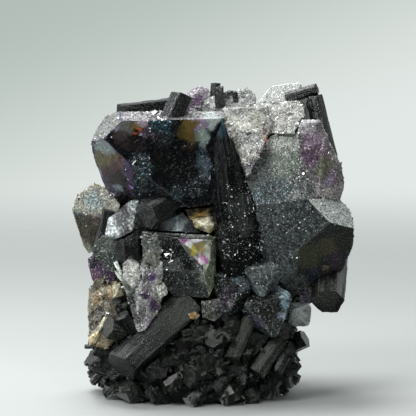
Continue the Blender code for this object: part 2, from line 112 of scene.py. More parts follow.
class Finish:
    """A material, or the world, that is written as expressions on Wires."""

    def __init__(self, name, owner=None):
        self.owner = owner or bpy.data.materials.new(name)
        self.owner.use_nodes = True
        self.tree = self.owner.node_tree
        self.tree.nodes.clear()

    def node(self, kind, settings=None, values=None, output=0):
        """Adds a node, sets its settings first and then its inputs, and gives back one of its outputs."""
        made = self.tree.nodes.new("ShaderNode" + kind)
        for key, value in (settings or {}).items():
            setattr(made, key, value)
        for key, value in (values or {}).items():
            socket = made.inputs[key]
            if isinstance(value, Wire):
                self.tree.links.new(value.socket, socket)
            elif socket.type == "RGBA" and len(value) == 3:
                socket.default_value = (*value, 1.0)
            else:
                socket.default_value = value
        return Wire(self, made.outputs[output])

    def mix(self, share, first, second):
        """The first colour where share is 0, the second where it is 1."""
        return self.node("Mix", {"data_type": "RGBA"}, {0: share, 6: first, 7: second}, 2)

    def vector(self, operation, *values, output=0):
        """A Vector Math node on colours, places or directions."""
        return self.node("VectorMath", {"operation": operation}, dict(enumerate(values)), output)

    def scale(self, vector, share):
        """A colour, place or direction times one value."""
        return self.node("VectorMath", {"operation": "SCALE"}, {0: vector, "Scale": share})

    def spot(self):
        """The place on the piece, in millimetres."""
        return self.scale(self.node("TexCoord", None, None, "Object"), 1.0 / MM)

    def painted(self, name, output="Color"):
        """What the mesh carries under that name: Color, Vector or Alpha."""
        return self.node("Attribute", {"attribute_name": name}, None, output)

    def cloud(self, place, size, detail=3.0, rough=0.55):
        """Noise with features of that size, between 0 and 1."""
        values = {"Vector": place, "Scale": 1.0 / size, "Detail": detail, "Roughness": rough}
        return self.node("TexNoise", None, values)

    def cells(self, place, size):
        """One random colour for each cell of that size."""
        return self.node("TexVoronoi", None, {"Vector": place, "Scale": 1.0 / size}, "Color")

    def cell_value(self, place, size):
        """One random value between 0 and 1 for each cell of that size."""
        return self.node("SeparateColor", None, {0: self.cells(place, size)})

    def bump(self, height, depth, normal=None):
        """A normal bent by a height between 0 and 1 that stands for depth millimetres."""
        values = {"Height": height, "Distance": depth * MM, "Strength": 1.0}
        if normal:
            values["Normal"] = normal
        return self.node("Bump", None, values)

    def glints(self, place, size, spread):
        """A normal that tips another way in each little cell, as on a druse of tiny faces."""
        tip = self.scale(self.vector("SUBTRACT", self.cells(place, size), (0.5, 0.5, 0.5)), spread)
        flat = self.node("NewGeometry", None, None, "Normal")
        return self.vector("NORMALIZE", self.vector("ADD", flat, tip))

    def principled(self, **values):
        """A Principled shader. Words in the names of its inputs are joined by an underscore."""
        inputs = {word.replace("_", " "): value for word, value in values.items()}
        return self.node("BsdfPrincipled", None, inputs)

    def blend(self, share, first, second):
        """The first shader where share is 0, the second where it is 1."""
        return self.node("MixShader", None, {0: share, 1: first, 2: second})

    def surface(self, shader, volume=None):
        """Puts the shader on the surface, and gives back the material."""
        out = self.tree.nodes.new("ShaderNodeOutputMaterial")
        self.tree.links.new(shader.socket, out.inputs["Surface"])
        if volume:
            self.tree.links.new(volume.socket, out.inputs["Volume"])
        return self.owner


FLOOR_RADIUS = 600.0
FLOOR_RINGS = 24
FLOOR_SPOKES = 96
FLOOR_FADES = (60.0, 420.0)
FLOOR_MOTTLE = 40.0


def ring_links(around, rows, first=0):
    """Triangles of a fan round point number first, and of the strips between the rings that follow it."""
    here = np.arange(around)
    there = (here + 1) % around
    fan = np.stack([np.full(around, first), first + 1 + here, first + 1 + there], 1)
    start = first + 1 + around * np.arange(rows - 1)[:, None]
    a, b = start + here, start + there
    c, d = b + around, a + around
    return np.concatenate([fan, np.stack([a, d, c], 2).reshape(-1, 3), np.stack([a, c, b], 2).reshape(-1, 3)])


def round_floor(radius, rings, spokes):
    """Points r*cos(a), r*sin(a) on a flat disc, with r growing as the square of an even count."""
    share = (np.arange(1, rings + 1) / rings) ** 2
    angle = np.arange(spokes) * 2.0 * math.pi / spokes
    flat = radius * share[:, None, None] * np.stack([np.cos(angle), np.sin(angle)], 1)
    points = np.zeros((rings * spokes + 1, 3))
    points[1:, :2] = flat.reshape(-1, 2)
    return points, ring_links(spokes, rings)


def make_mesh(name, points, triangles, paints=None, smooth=True):
    """A mesh from whole arrays, in millimetres. paints are colours or directions, one for each point."""
    mesh = bpy.data.meshes.new(name)
    mesh.vertices.add(len(points))
    mesh.vertices.foreach_set("co", (points * MM).astype(np.float32).ravel())
    mesh.loops.add(3 * len(triangles))
    mesh.loops.foreach_set("vertex_index", triangles.astype(np.int32).ravel())
    mesh.polygons.add(len(triangles))
    mesh.polygons.foreach_set("loop_start", 3 * np.arange(len(triangles), dtype=np.int32))
    mesh.polygons.foreach_set("use_smooth", np.full(len(triangles), smooth))
    mesh.update(calc_edges=True)
    for word, values in (paints or {}).items():
        kind, field = {3: ("FLOAT_VECTOR", "vector"), 4: ("FLOAT_COLOR", "color")}[values.shape[1]]
        mesh.attributes.new(word, kind, "POINT").data.foreach_set(field, values.astype(np.float32).ravel())
    return mesh


def place_mesh(name, mesh, material):
    """An object at the origin that shows the mesh in that material."""
    made = bpy.data.objects.new(name, mesh)
    bpy.context.scene.collection.objects.link(made)
    made.data.materials.append(material)
    return made


def floor_finish():
    """Pale matt card that fades to nothing far out."""
    card = Finish("pale_card")
    place = card.spot()
    flat = card.vector("MULTIPLY", place, (1.0, 1.0, 0.0))
    away = card.vector("LENGTH", flat, output="Value")
    mottle = card.mix(card.cloud(place, FLOOR_MOTTLE), tone(164, 168, 166), tone(170, 173, 171))
    board = card.principled(Base_Color=mottle, Roughness=0.9, Specular_IOR_Level=0.2)
    clear = card.node("BsdfTransparent")
    return card.surface(card.blend(away.between(*FLOOR_FADES), board, clear))


disc = make_mesh("floor", *round_floor(FLOOR_RADIUS, FLOOR_RINGS, FLOOR_SPOKES))
floor = place_mesh("floor", disc, floor_finish())
floor.visible_glossy = False


BACKDROP = (tone(179, 190, 184), tone(226, 232, 229))
ROOM_LIGHT = ((0.05, 0.055, 0.055), (0.9, 0.95, 0.96))


def dress_world():
    """The backdrop that is seen is paler to the right and towards the floor. What lights the specimen is
    bright at the back and above, and dim in front. Both are sums of the parts of the direction."""
    world = bpy.data.worlds.new("studio")
    bpy.context.scene.world = world
    room = Finish("studio", world)
    way = room.node("TexCoord", None, None, "Generated")
    right = room.node("SeparateXYZ", None, {0: way})
    back, up = (Wire(room, right.socket.node.outputs[k]) for k in (1, 2))
    seen = room.mix((right * 3.0 - up * 8.0 + 0.33).between(0.0, 1.0), *BACKDROP)
    lit = room.mix((back * 0.9 + up * 0.45 - right * 0.2).between(-0.1, 1.0), *ROOM_LIGHT)
    camera_ray = room.node("LightPath", None, None, "Is Camera Ray")
    glow = room.node("Background", None, {"Color": room.mix(camera_ray, lit, seen)})
    out = room.tree.nodes.new("ShaderNodeOutputWorld")
    room.tree.links.new(glow.socket, out.inputs[0])


dress_world()
bpy.context.scene.view_settings.view_transform = "Standard"


BOX_AIM = (0.0, 0.0, 24.0)


def soft_box(name, place, width, height, brightness, colour=(1.0, 1.0, 1.0)):
    """A glowing rectangle that faces the specimen's middle. White paper has a brightness of 1."""
    lamp = bpy.data.lights.new(name, "AREA")
    lamp.shape = "RECTANGLE"
    lamp.size = width * MM
    lamp.size_y = height * MM
    lamp.energy = brightness * math.pi * lamp.size * lamp.size_y
    lamp.color = colour
    box = bpy.data.objects.new(name, lamp)
    box.location = [v * MM for v in place]
    away = np.subtract(place, BOX_AIM)
    flat = math.hypot(away[0], away[1])
    box.rotation_euler = (math.atan2(flat, away[2]), 0.0, math.atan2(away[0], -away[1]))
    bpy.context.scene.collection.objects.link(box)


soft_box("top_box", (-50.0, 30.0, 260.0), 150.0, 120.0, 15.0)
soft_box("front_box", (-110.0, -170.0, 220.0), 110.0, 90.0, 15.0)
soft_box("left_box", (-250.0, -60.0, 120.0), 60.0, 120.0, 9.0, (0.95, 1.0, 1.05))
soft_box("left_card", (-210.0, -200.0, 20.0), 130.0, 130.0, 0.45)
soft_box("right_card", (230.0, -190.0, 70.0), 70.0, 140.0, 1.2)
soft_box("spark", (60.0, -230.0, 200.0), 24.0, 24.0, 40.0)


# The phantom crystal
# A cube of fluorite with cut-off corners, nearly 19 mm wide. A purple and olive-yellow crystal, the phantom,
# sits inside a clear outer zone, and the faces carry patches of frost and of teal-black druse.
LATTICE_PRIMES = np.array([73856093, 19349663, 83492791])
STIR = 1274126177


def lumps(points, size, seed):
    """Smooth hills between -1 and 1. Each corner of a lattice of that size has its own fixed value, and a
    point takes the values of its eight corners, blended by t*t*(3 - 2*t) along each axis."""
    cell = np.floor(points / size).astype(np.int64)
    part = points / size - cell
    part = part * part * (3.0 - 2.0 * part)
    total = np.zeros(len(points))
    for corner in np.ndindex(2, 2, 2):
        mixed = np.bitwise_xor.reduce((cell + corner) * LATTICE_PRIMES, axis=1) ^ (seed * LATTICE_PRIMES[2])
        mixed = ((mixed ^ (mixed >> 13)) * STIR) & 0x7FFFFFFF
        value = ((mixed ^ (mixed >> 15)) & 0xFFFF) / 32767.5 - 1.0
        total += value * np.prod(np.where(corner, part, 1.0 - part), axis=1)
    return total


def hills(points, seed, layers):
    """The sum of several lumps. Each layer is a size, a height and a number that is added to the seed."""
    return sum(height * lumps(points, size, seed + extra) for size, height, extra in layers)


SMALLEST_FACE = 0.02
FLAT_WITHIN = math.radians(2.5)
SAME_POINT = 0.002


def wrap(points):
    """Corners and flat faces of the smallest convex body round some points, with each face's direction and
    its distance from the origin."""
    shell = bmesh.new()
    for point in points:
        shell.verts.new(point)
    bmesh.ops.convex_hull(shell, input=shell.verts)
    loose = [v for v in shell.verts if not v.link_faces]
    bmesh.ops.delete(shell, geom=loose, context="VERTS")
    bmesh.ops.dissolve_limit(shell, angle_limit=FLAT_WITHIN, verts=shell.verts, edges=shell.edges)
    bmesh.ops.recalc_face_normals(shell, faces=shell.faces)
    shell.verts.index_update()
    corners = np.array([v.co for v in shell.verts])
    faces = [[v.index for v in face.verts] for face in shell.faces]
    broad = [face for face in shell.faces if face.calc_area() > SMALLEST_FACE]
    normals = np.array([face.normal for face in broad])
    middles = np.array([np.mean([v.co for v in face.verts], axis=0) for face in broad])
    shell.free()
    return corners, faces, normals, (normals * middles).sum(1)


def solid_shell(node):
    """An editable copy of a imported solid, in metres, with points that share one place joined."""
    shell = bmesh.new()
    shell.from_mesh(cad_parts[node].data)
    bmesh.ops.remove_doubles(shell, verts=shell.verts, dist=SAME_POINT * MM)
    return shell


def crystal_faces(node, cut=None):
    """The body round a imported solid, or round its part behind a plane. cut is a point on that plane and the
    direction that is cut away."""
    whole = solid_shell(node)
    if cut:
        everything = list(whole.verts) + list(whole.edges) + list(whole.faces)
        point = [v * MM for v in cut[0]]
        bmesh.ops.bisect_plane(whole, geom=everything, plane_co=point, plane_no=cut[1], clear_outer=True)
    points = [corner.co / MM for corner in whole.verts]
    whole.free()
    return wrap(points)


STEP = 0.3
RIM_ROWS = (0.0, 0.05, 0.12, 0.22)
FIRST_ROW = 0.38
ROWS_REACH = 0.9


def skin(corners, faces, step):
    """Points and triangles that cover the flat faces. A point of a face is middle + share*(rim - middle):
    one parameter runs along the rim, the other from the middle out, with rows close together at the rim."""
    points, triangles, count = [], [], 0
    for face in faces:
        rim = []
        for start, end in zip(face, face[1:] + face[:1]):
            side = corners[end] - corners[start]
            parts = max(2, math.ceil(round(float(np.linalg.norm(side)), 3) / step))
            rim.append(corners[start] + side * (np.arange(parts) / parts)[:, None])
        rim = np.concatenate(rim)
        middle = rim.mean(0)
        reach = float(np.linalg.norm(rim - middle, axis=1).mean())
        depths = np.concatenate([RIM_ROWS, np.arange(FIRST_ROW, reach, step)])
        share = 1.0 - depths[depths < ROWS_REACH * reach][::-1] / reach
        grid = middle + share[:, None, None] * (rim - middle)
        points += [middle[None], grid.reshape(-1, 3)]
        triangles.append(ring_links(len(rim), len(share), count))
        count += 1 + len(rim) * len(share)
    return weld(np.concatenate(points), np.concatenate(triangles))


def weld(points, triangles):
    """Joins points that share one place, and drops triangles that have shrunk to nothing."""
    _, first, which = np.unique(np.round(points, 3), axis=0, return_index=True, return_inverse=True)
    triangles = which.ravel()[triangles]
    a, b, c = triangles.T
    return points[first], triangles[(a != b) & (b != c) & (c != a)]


def soften(points, normals, offsets, width):
    """Rounds the edges. width*log(sum(exp(distance/width))) is a smooth maximum of the face distances. Each
    point is pulled in by it along the mixed direction of the faces near it. Gives back the points, that
    direction, and the distance to the nearest edge."""
    gaps = points @ normals.T - offsets
    weight = np.exp((gaps - gaps.max(1, keepdims=True)) / width)
    total = weight.sum(1)
    outward = (weight @ normals) / total[:, None]
    outward /= np.linalg.norm(outward, axis=1)[:, None]
    edge = -np.sort(gaps, axis=1)[:, -2]
    return points - outward * (width * np.log(total))[:, None], outward, edge


FACING_FROM = 0.90
FACING_SPAN = 0.06


def looking(outward, azimuth, elevation):
    """1 where a face looks that way, within about 16 degrees, and 0 from 26 degrees on. Azimuth 0 is the
    front and 90 the right; elevation 90 is up."""
    turn, rise = math.radians(azimuth), math.radians(elevation)
    way = np.array([math.sin(turn) * math.cos(rise), -math.cos(turn) * math.cos(rise), math.sin(rise)])
    return np.clip((outward @ way - FACING_FROM) / FACING_SPAN, 0.0, 1.0)


GROUND_WEIGHT = 0.04
BORDER_LAYERS = ((1.6, 1.0, 0), (0.6, 0.6, 2), (0.3, 0.4, 4))
BORDER_SEEDS = (31, 32)


def colours_at(points, outward, base, looks, zones, blur):
    """Colours of a crystal: red, green, blue and how frosted the face is, from 0 for glassy to 1. Each of
    looks (azimuth, elevation, colour) tints the faces that look that way. Over that, zones (x, z, radius,
    colour) mix on the front view, each with a weight exp(-(distance/radius)^4). A last value (azimuth,
    elevation) keeps a zone to the faces that look that way. blur is how far a zone's border wavers."""
    ground = np.tile(tone(*base), (len(points), 1))
    for azimuth, elevation, *colour in looks:
        share = looking(outward, azimuth, elevation)[:, None]
        ground = ground * (1.0 - share) + np.array(tone(*colour)) * share
    x = points[:, 0] + blur * hills(points, BORDER_SEEDS[0], BORDER_LAYERS)
    z = points[:, 2] + blur * hills(points, BORDER_SEEDS[1], BORDER_LAYERS)
    total = np.full(len(points), GROUND_WEIGHT)
    mixed = ground * total[:, None]
    for zone_x, zone_z, radius, red, green, blue, frost, *way in zones:
        weight = np.exp(-(((x - zone_x) ** 2 + (z - zone_z) ** 2) / radius ** 2) ** 2)
        if way:
            weight = weight * looking(outward, *way[0])
        mixed += weight[:, None] * np.array(tone(red, green, blue, frost))
        total += weight
    return mixed / total[:, None]


def add_piece(name, points, triangles, paints, material, smooth=True):
    """Makes a piece from whole arrays. It rides on the specimen's one body."""
    piece = place_mesh(name, make_mesh(name, points, triangles, paints, smooth), material)
    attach(piece, "root")
    return piece


def show(node, points, triangles, paints, material):
    """Makes the drawn skin of a node, and hides the node's plain solid."""
    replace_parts(add_piece(node + "_skin", points, triangles, paints, material), node)


PALE_EDGE_WIDTH = 0.08
PALE_EDGE_GAIN = 1.2
PALE_EDGE_LIFT = 0.03


# Paints a paler line along every edge of the crystal skins.
def pale_edge_paint(colours, edge):
    """Edges are paler: colour*(1 + PALE_EDGE_GAIN*e) + PALE_EDGE_LIFT*e, with e = exp(-distance/PALE_EDGE_WIDTH)."""
    close = np.exp(-edge / PALE_EDGE_WIDTH)[:, None]
    return colours * (1.0 + PALE_EDGE_GAIN * close) + PALE_EDGE_LIFT * close


CHIP_WIDTH = 0.2


def chips(points, edge, size, start, depth, seed):
    """Depth of the chips in the edges: depth*exp(-distance/CHIP_WIDTH)*(lumps - start), and at least 0."""
    return np.clip(lumps(points, size, seed) - start, 0.0, 1.0) * np.exp(-edge / CHIP_WIDTH) * depth


FACE_LAYERS = ((2.6, 1.0, 0), (0.9, 0.5, 1))
FACE_CHIPS = (1.1, 0.25, 0.4)
EDGE_WIDTH = 0.04
RIM_DEPTH = -4.0
RIM_WIDTH = 0.12
CRYSTAL_BLUR = 0.45


def crystal_skin(shells, base, looks, zones, relief=0.03, step=STEP, seed=1, rim=None):
    """Points, triangles and colours of crystals from their flat faces, with softened edges, hills as high as
    relief, and chips. rim is some x and the colour of the front edges left of it."""
    bodies, links, paints, count = [], [], [], 0
    for corners, faces, normals, offsets in shells:
        body, triangles = skin(corners, faces, step)
        body, outward, edge = soften(body, normals, offsets, EDGE_WIDTH)
        height = relief * hills(body, seed, FACE_LAYERS) - relief
        bodies.append(body + outward * (height - chips(body, edge, *FACE_CHIPS, seed + 2))[:, None])
        links.append(triangles + count)
        colours = colours_at(body, outward, base, looks, zones, CRYSTAL_BLUR)
        colours[:, :3] = pale_edge_paint(colours[:, :3], edge)
        if rim:
            front = (body[:, 0] < rim[0]) & (body[:, 1] < RIM_DEPTH)
            line = (np.exp(-(edge / RIM_WIDTH) ** 2) * front)[:, None]
            colours = colours * (1.0 - line) + np.array(tone(*rim[1])) * line
        paints.append(colours)
        count += len(body)
    return np.concatenate(bodies), np.concatenate(links), np.concatenate(paints)


def dress_crystal(node, material, slot, base, looks, zones, cuts=(None,), **more):
    """Draws a crystal over its solid, in as many convex parts as there are cuts."""
    drawn = crystal_skin([crystal_faces(node, cut) for cut in cuts], base, looks, zones, **more)
    show(node, drawn[0], drawn[1], {"tint": drawn[2]}, material)
    return drawn


def random_turns(count, dice):
    """Rotation matrices from random unit quaternions (w, x, y, z)."""
    turns = dice.normal(size=(4, count))
    w, x, y, z = turns / np.linalg.norm(turns, axis=0)
    rows = [
        [1 - 2 * (y * y + z * z), 2 * (x * y - w * z), 2 * (x * z + w * y)],
        [2 * (x * y + w * z), 1 - 2 * (x * x + z * z), 2 * (y * z - w * x)],
        [2 * (x * z - w * y), 2 * (y * z + w * x), 1 - 2 * (x * x + y * y)],
    ]
    return np.moveaxis(np.array(rows), 2, 0)


def spread(points, triangles, count, dice):
    """Random places on a surface, even by area, each with its outward direction and a corner's number."""
    a, b, c = (points[triangles[:, k]] for k in range(3))
    cross = np.cross(b - a, c - a)
    area = np.linalg.norm(cross, axis=1)
    chosen = dice.choice(len(triangles), count, p=area / area.sum())
    s, t = np.sqrt(dice.random(count))[:, None], dice.random(count)[:, None]
    places = (1 - s) * a[chosen] + s * (1 - t) * b[chosen] + s * t * c[chosen]
    return places, cross[chosen] / area[chosen][:, None], triangles[chosen, 0]


def grain_finish(name):
    """The druse's own little crystals: clean faces, bright or dark by the grain."""
    stone = Finish(name)
    look = stone.principled(Base_Color=stone.painted("tint"), Roughness=0.12, IOR=1.5, Specular_IOR_Level=0.9)
    return stone.surface(look)


GRAIN_CORNERS = np.array([[1, 1, 1], [1, -1, -1], [-1, 1, -1], [-1, -1, 1]]) * 0.8
GRAIN_SIDES = np.array([[0, 1, 2], [0, 3, 1], [0, 2, 3], [1, 3, 2]])
GRAIN_SHAPE = (1.0, 0.8, 1.3)
GRAIN_SPREAD = 0.45
GRAIN_SUNK = 0.35
BRIGHTEST = 0.8
grain_look = grain_finish("druse_grains")


def grow_druse(name, host, count, size, seed, sparkle, where=None, shape=GRAIN_SHAPE, colour=None):
    """Little four-sided crystals, each turned at random and half sunk into the host's face. Those without a
    colour of their own keep to where the host is frosted. shape is a grain's width, depth and height."""
    dice = np.random.default_rng(seed)
    points, triangles, colours = host
    places, outward, corner = spread(points, triangles, count, dice)
    tint = colours[corner]
    keep = dice.random(count) < (1.0 if colour else tint[:, 3])
    if where:
        keep &= where(places)
    places, outward, tint = places[keep], outward[keep], tint[keep]
    count = len(places)
    radius = size * np.exp(GRAIN_SPREAD * dice.normal(size=count)) * 0.5
    turns = random_turns(count, dice)
    body = places[:, None] + np.einsum("nij,kj->nki", turns, GRAIN_CORNERS * shape) * radius[:, None, None]
    body = body - outward[:, None] * (GRAIN_SUNK * radius)[:, None, None]
    glow = np.exp(sparkle * dice.normal(size=count))
    if colour:
        tint[:, :3] = tone(*colour)
    tint[:, :3] = np.clip(tint[:, :3] * glow[:, None], 0.0, BRIGHTEST)
    corners = len(GRAIN_CORNERS)
    sides = GRAIN_SIDES + corners * np.arange(count)[:, None, None]
    paints = {"tint": np.repeat(tint, corners, axis=0)}
    add_piece(name, body.reshape(-1, 3), sides.reshape(-1, 3), paints, grain_look, False)


CLOUD_SIZE = 0.9
CLOUD_CONTRAST = 1.6
DOT_SIZE = 0.15
DOT_COLOUR = tone(170, 178, 180)
GLASS_ROUGH, FROST_ROUGH, CLOUD_ROUGH = 0.06, 0.22, 0.12
FLUORITE_IOR = 1.434
WHITE = (1.0, 1.0, 1.0)


def stone_finish(name, clear=0.0, grain=0.2, glitter=0.9, contrast=1.5, absorbs=None):
    """Fluorite. Where the tint's fourth value is high the face is frosted: bright and dark grains that each
    tip another way. Where it is low the face is smooth glass over a dark inside. clear is the share of the
    light that passes there, and absorbs is what the inside keeps: a colour and a density."""
    stone = Finish(name)
    place = stone.spot()
    tint = stone.painted("tint")
    frost = stone.painted("tint", "Alpha")
    cell = stone.cell_value(place, grain)
    cloud = stone.cloud(place, CLOUD_SIZE, detail=4.0, rough=0.65)
    bright = 1.0 + frost * ((cell - 0.5) * contrast + (cloud - 0.5) * CLOUD_CONTRAST)
    base = stone.scale(tint, bright)
    # Pale dots painted into the colour: partly the frost's white crystallites, partly painted sparkle that
    # shows under any lamp.
    white = stone.cell_value(place, DOT_SIZE).between(0.8, 1.0) * (0.15 + frost * 0.55)
    base = stone.mix(white, base, DOT_COLOUR)
    rough = GLASS_ROUGH + frost * FROST_ROUGH + cloud.between(0.5, 0.65) * CLOUD_ROUGH
    facets = stone.glints(place, grain, frost * glitter + 0.05)
    bent = stone.bump(cloud, depth=0.1, normal=facets)
    face = stone.principled(Base_Color=base, Roughness=rough, Normal=bent, IOR=1.45, Specular_IOR_Level=0.7)
    if not clear:
        return stone.surface(face)
    glass = stone.principled(Base_Color=stone.mix(0.5, tint, WHITE), Roughness=rough * 0.5, Normal=bent,
                             IOR=FLUORITE_IOR, Transmission_Weight=1.0)
    share = frost * clear + (1.0 - clear)
    fog = stone.node("VolumeAbsorption", None, {"Color": absorbs[0], "Density": absorbs[1]})
    return stone.surface(stone.blend(share, glass, face), fog)


BLACK_GLASS = (9, 11, 14, 0.04)
FRONT, CUT, TOP = (5, 5), (-48, -40), (0, 74)
PHANTOM_LOOKS = [
    (*FRONT, *BLACK_GLASS), (*TOP, 120, 118, 120, 1.0), (-67, 45, 112, 114, 110, 0.6),
    (*CUT, 26, 30, 34, 0.35),
]
PHANTOM_ZONES = [
    (-15.5, 38.0, 1.1, 160, 176, 174, 0.2, CUT), (-15.8, 36.1, 1.0, 128, 118, 70, 0.1, CUT),
    (-14.6, 36.4, 0.9, 124, 104, 64, 0.04, CUT), (-13.8, 35.4, 0.9, 104, 66, 70, 0.04, CUT),
    (-15.2, 34.3, 1.0, 98, 70, 66, 0.05, CUT), (-16.4, 33.1, 1.0, 92, 58, 104, 0.1, CUT),
    (-14.6, 32.9, 1.0, 64, 44, 48, 0.1, CUT), (-15.5, 31.4, 0.9, 104, 90, 118, 0.2, CUT),
    # The pale blue-white zone at x -13.8, z 31.7 is a painted sheen: a reflection of the lamps put into the
    # colour.
    (-13.2, 33.9, 0.9, 44, 32, 40, 0.1, CUT), (-13.8, 31.7, 0.5, 150, 160, 176, 0.2, CUT),
    (-13.9, 41.0, 0.5, 164, 156, 176, 0.2, FRONT), (-12.6, 40.9, 0.9, 120, 124, 114, 0.1, FRONT),
    (-13.0, 39.6, 0.8, 84, 72, 72, 0.05, FRONT), (-12.2, 38.6, 0.9, 50, 42, 40, 0.05, FRONT),
    (-10.9, 41.2, 0.45, 130, 106, 62, 0.2, FRONT), (-11.0, 40.2, 0.2, 220, 90, 40, 0.2, FRONT),
    (-10.3, 40.7, 0.2, 200, 110, 60, 0.2, FRONT), (-10.1, 39.9, 0.2, 196, 170, 196, 0.5, FRONT),
    (-9.9, 41.8, 0.7, 150, 136, 146, 0.6, FRONT), (-9.3, 40.0, 0.7, 70, 58, 72, 0.5, FRONT),
    (-10.8, 38.2, 0.9, 34, 28, 32, 0.1, FRONT), (-10.6, 35.2, 1.5, 20, 36, 40, 0.9),
    (-10.4, 32.6, 1.4, 20, 34, 38, 0.9), (-7.2, 41.4, 1.3, 32, 54, 62, 0.9, FRONT),
    (-7.0, 39.4, 1.0, 30, 34, 36, 0.3, FRONT), (-5.3, 40.8, 0.7, 18, 24, 26, 0.2, FRONT),
    (-4.0, 40.4, 0.7, 92, 78, 34, 0.1, FRONT), (-3.1, 41.1, 0.7, 128, 106, 52, 0.1, FRONT),
    (-2.9, 39.6, 0.7, 116, 98, 54, 0.05, FRONT), (-3.4, 38.3, 0.6, 56, 44, 34, 0.05, FRONT),
    (-1.9, 42.2, 0.8, 172, 156, 178, 0.5, FRONT), (-1.6, 41.0, 0.6, 156, 146, 166, 0.2, FRONT),
    (-1.9, 39.6, 0.45, 134, 140, 126, 0.1, FRONT), (-0.2, 42.0, 0.9, 178, 190, 186, 0.4),
    (-0.9, 39.6, 0.7, 160, 178, 172, 0.2), (-0.9, 38.4, 0.5, 132, 148, 144, 0.2),
    (-1.4, 37.2, 0.7, 24, 36, 46, 0.4), (-1.0, 35.8, 0.9, 66, 80, 90, 0.6),
    (-1.2, 34.0, 0.8, 58, 66, 72, 0.7), (-2.6, 32.4, 1.2, 26, 32, 34, 0.5),
    (-5.2, 31.2, 0.9, 34, 44, 48, 0.5), (-6.6, 36.0, 1.6, 16, 14, 14, 0.1),
    (-4.4, 35.0, 1.3, 15, 15, 15, 0.2),
]
PHANTOM_FOG = ((0.35, 0.30, 0.42), 220.0)
PURPLE_RIM = (-11.5, (82, 56, 100, 0.2))
phantom_look = stone_finish("phantom_stone", clear=0.6, grain=0.22, glitter=0.7, contrast=1.4,
                            absorbs=PHANTOM_FOG)
phantom = dress_crystal("fluorite_phantom", phantom_look, "phantom_fluorite", (80, 84, 86, 0.6),
                        PHANTOM_LOOKS, PHANTOM_ZONES, step=0.27, rim=PURPLE_RIM)


def near(x, z, radius):
    """A test for grow_druse: places within that distance of a point, as seen from the front."""
    return lambda places: np.hypot(places[:, 0] - x, places[:, 2] - z) < radius


for name, count, size, seed, sparkle, where in [
    ("phantom_druse", 20000, 0.15, 401, 0.7, None),
    ("phantom_teal_tuft", 26000, 0.34, 402, 0.8, near(-7.4, 41.6, 1.9)),
    ("phantom_teal_patch", 9000, 0.26, 403, 0.9, near(-10.6, 34.0, 2.6)),
]:
    grow_druse(name, phantom, count, size, seed, sparkle, where)


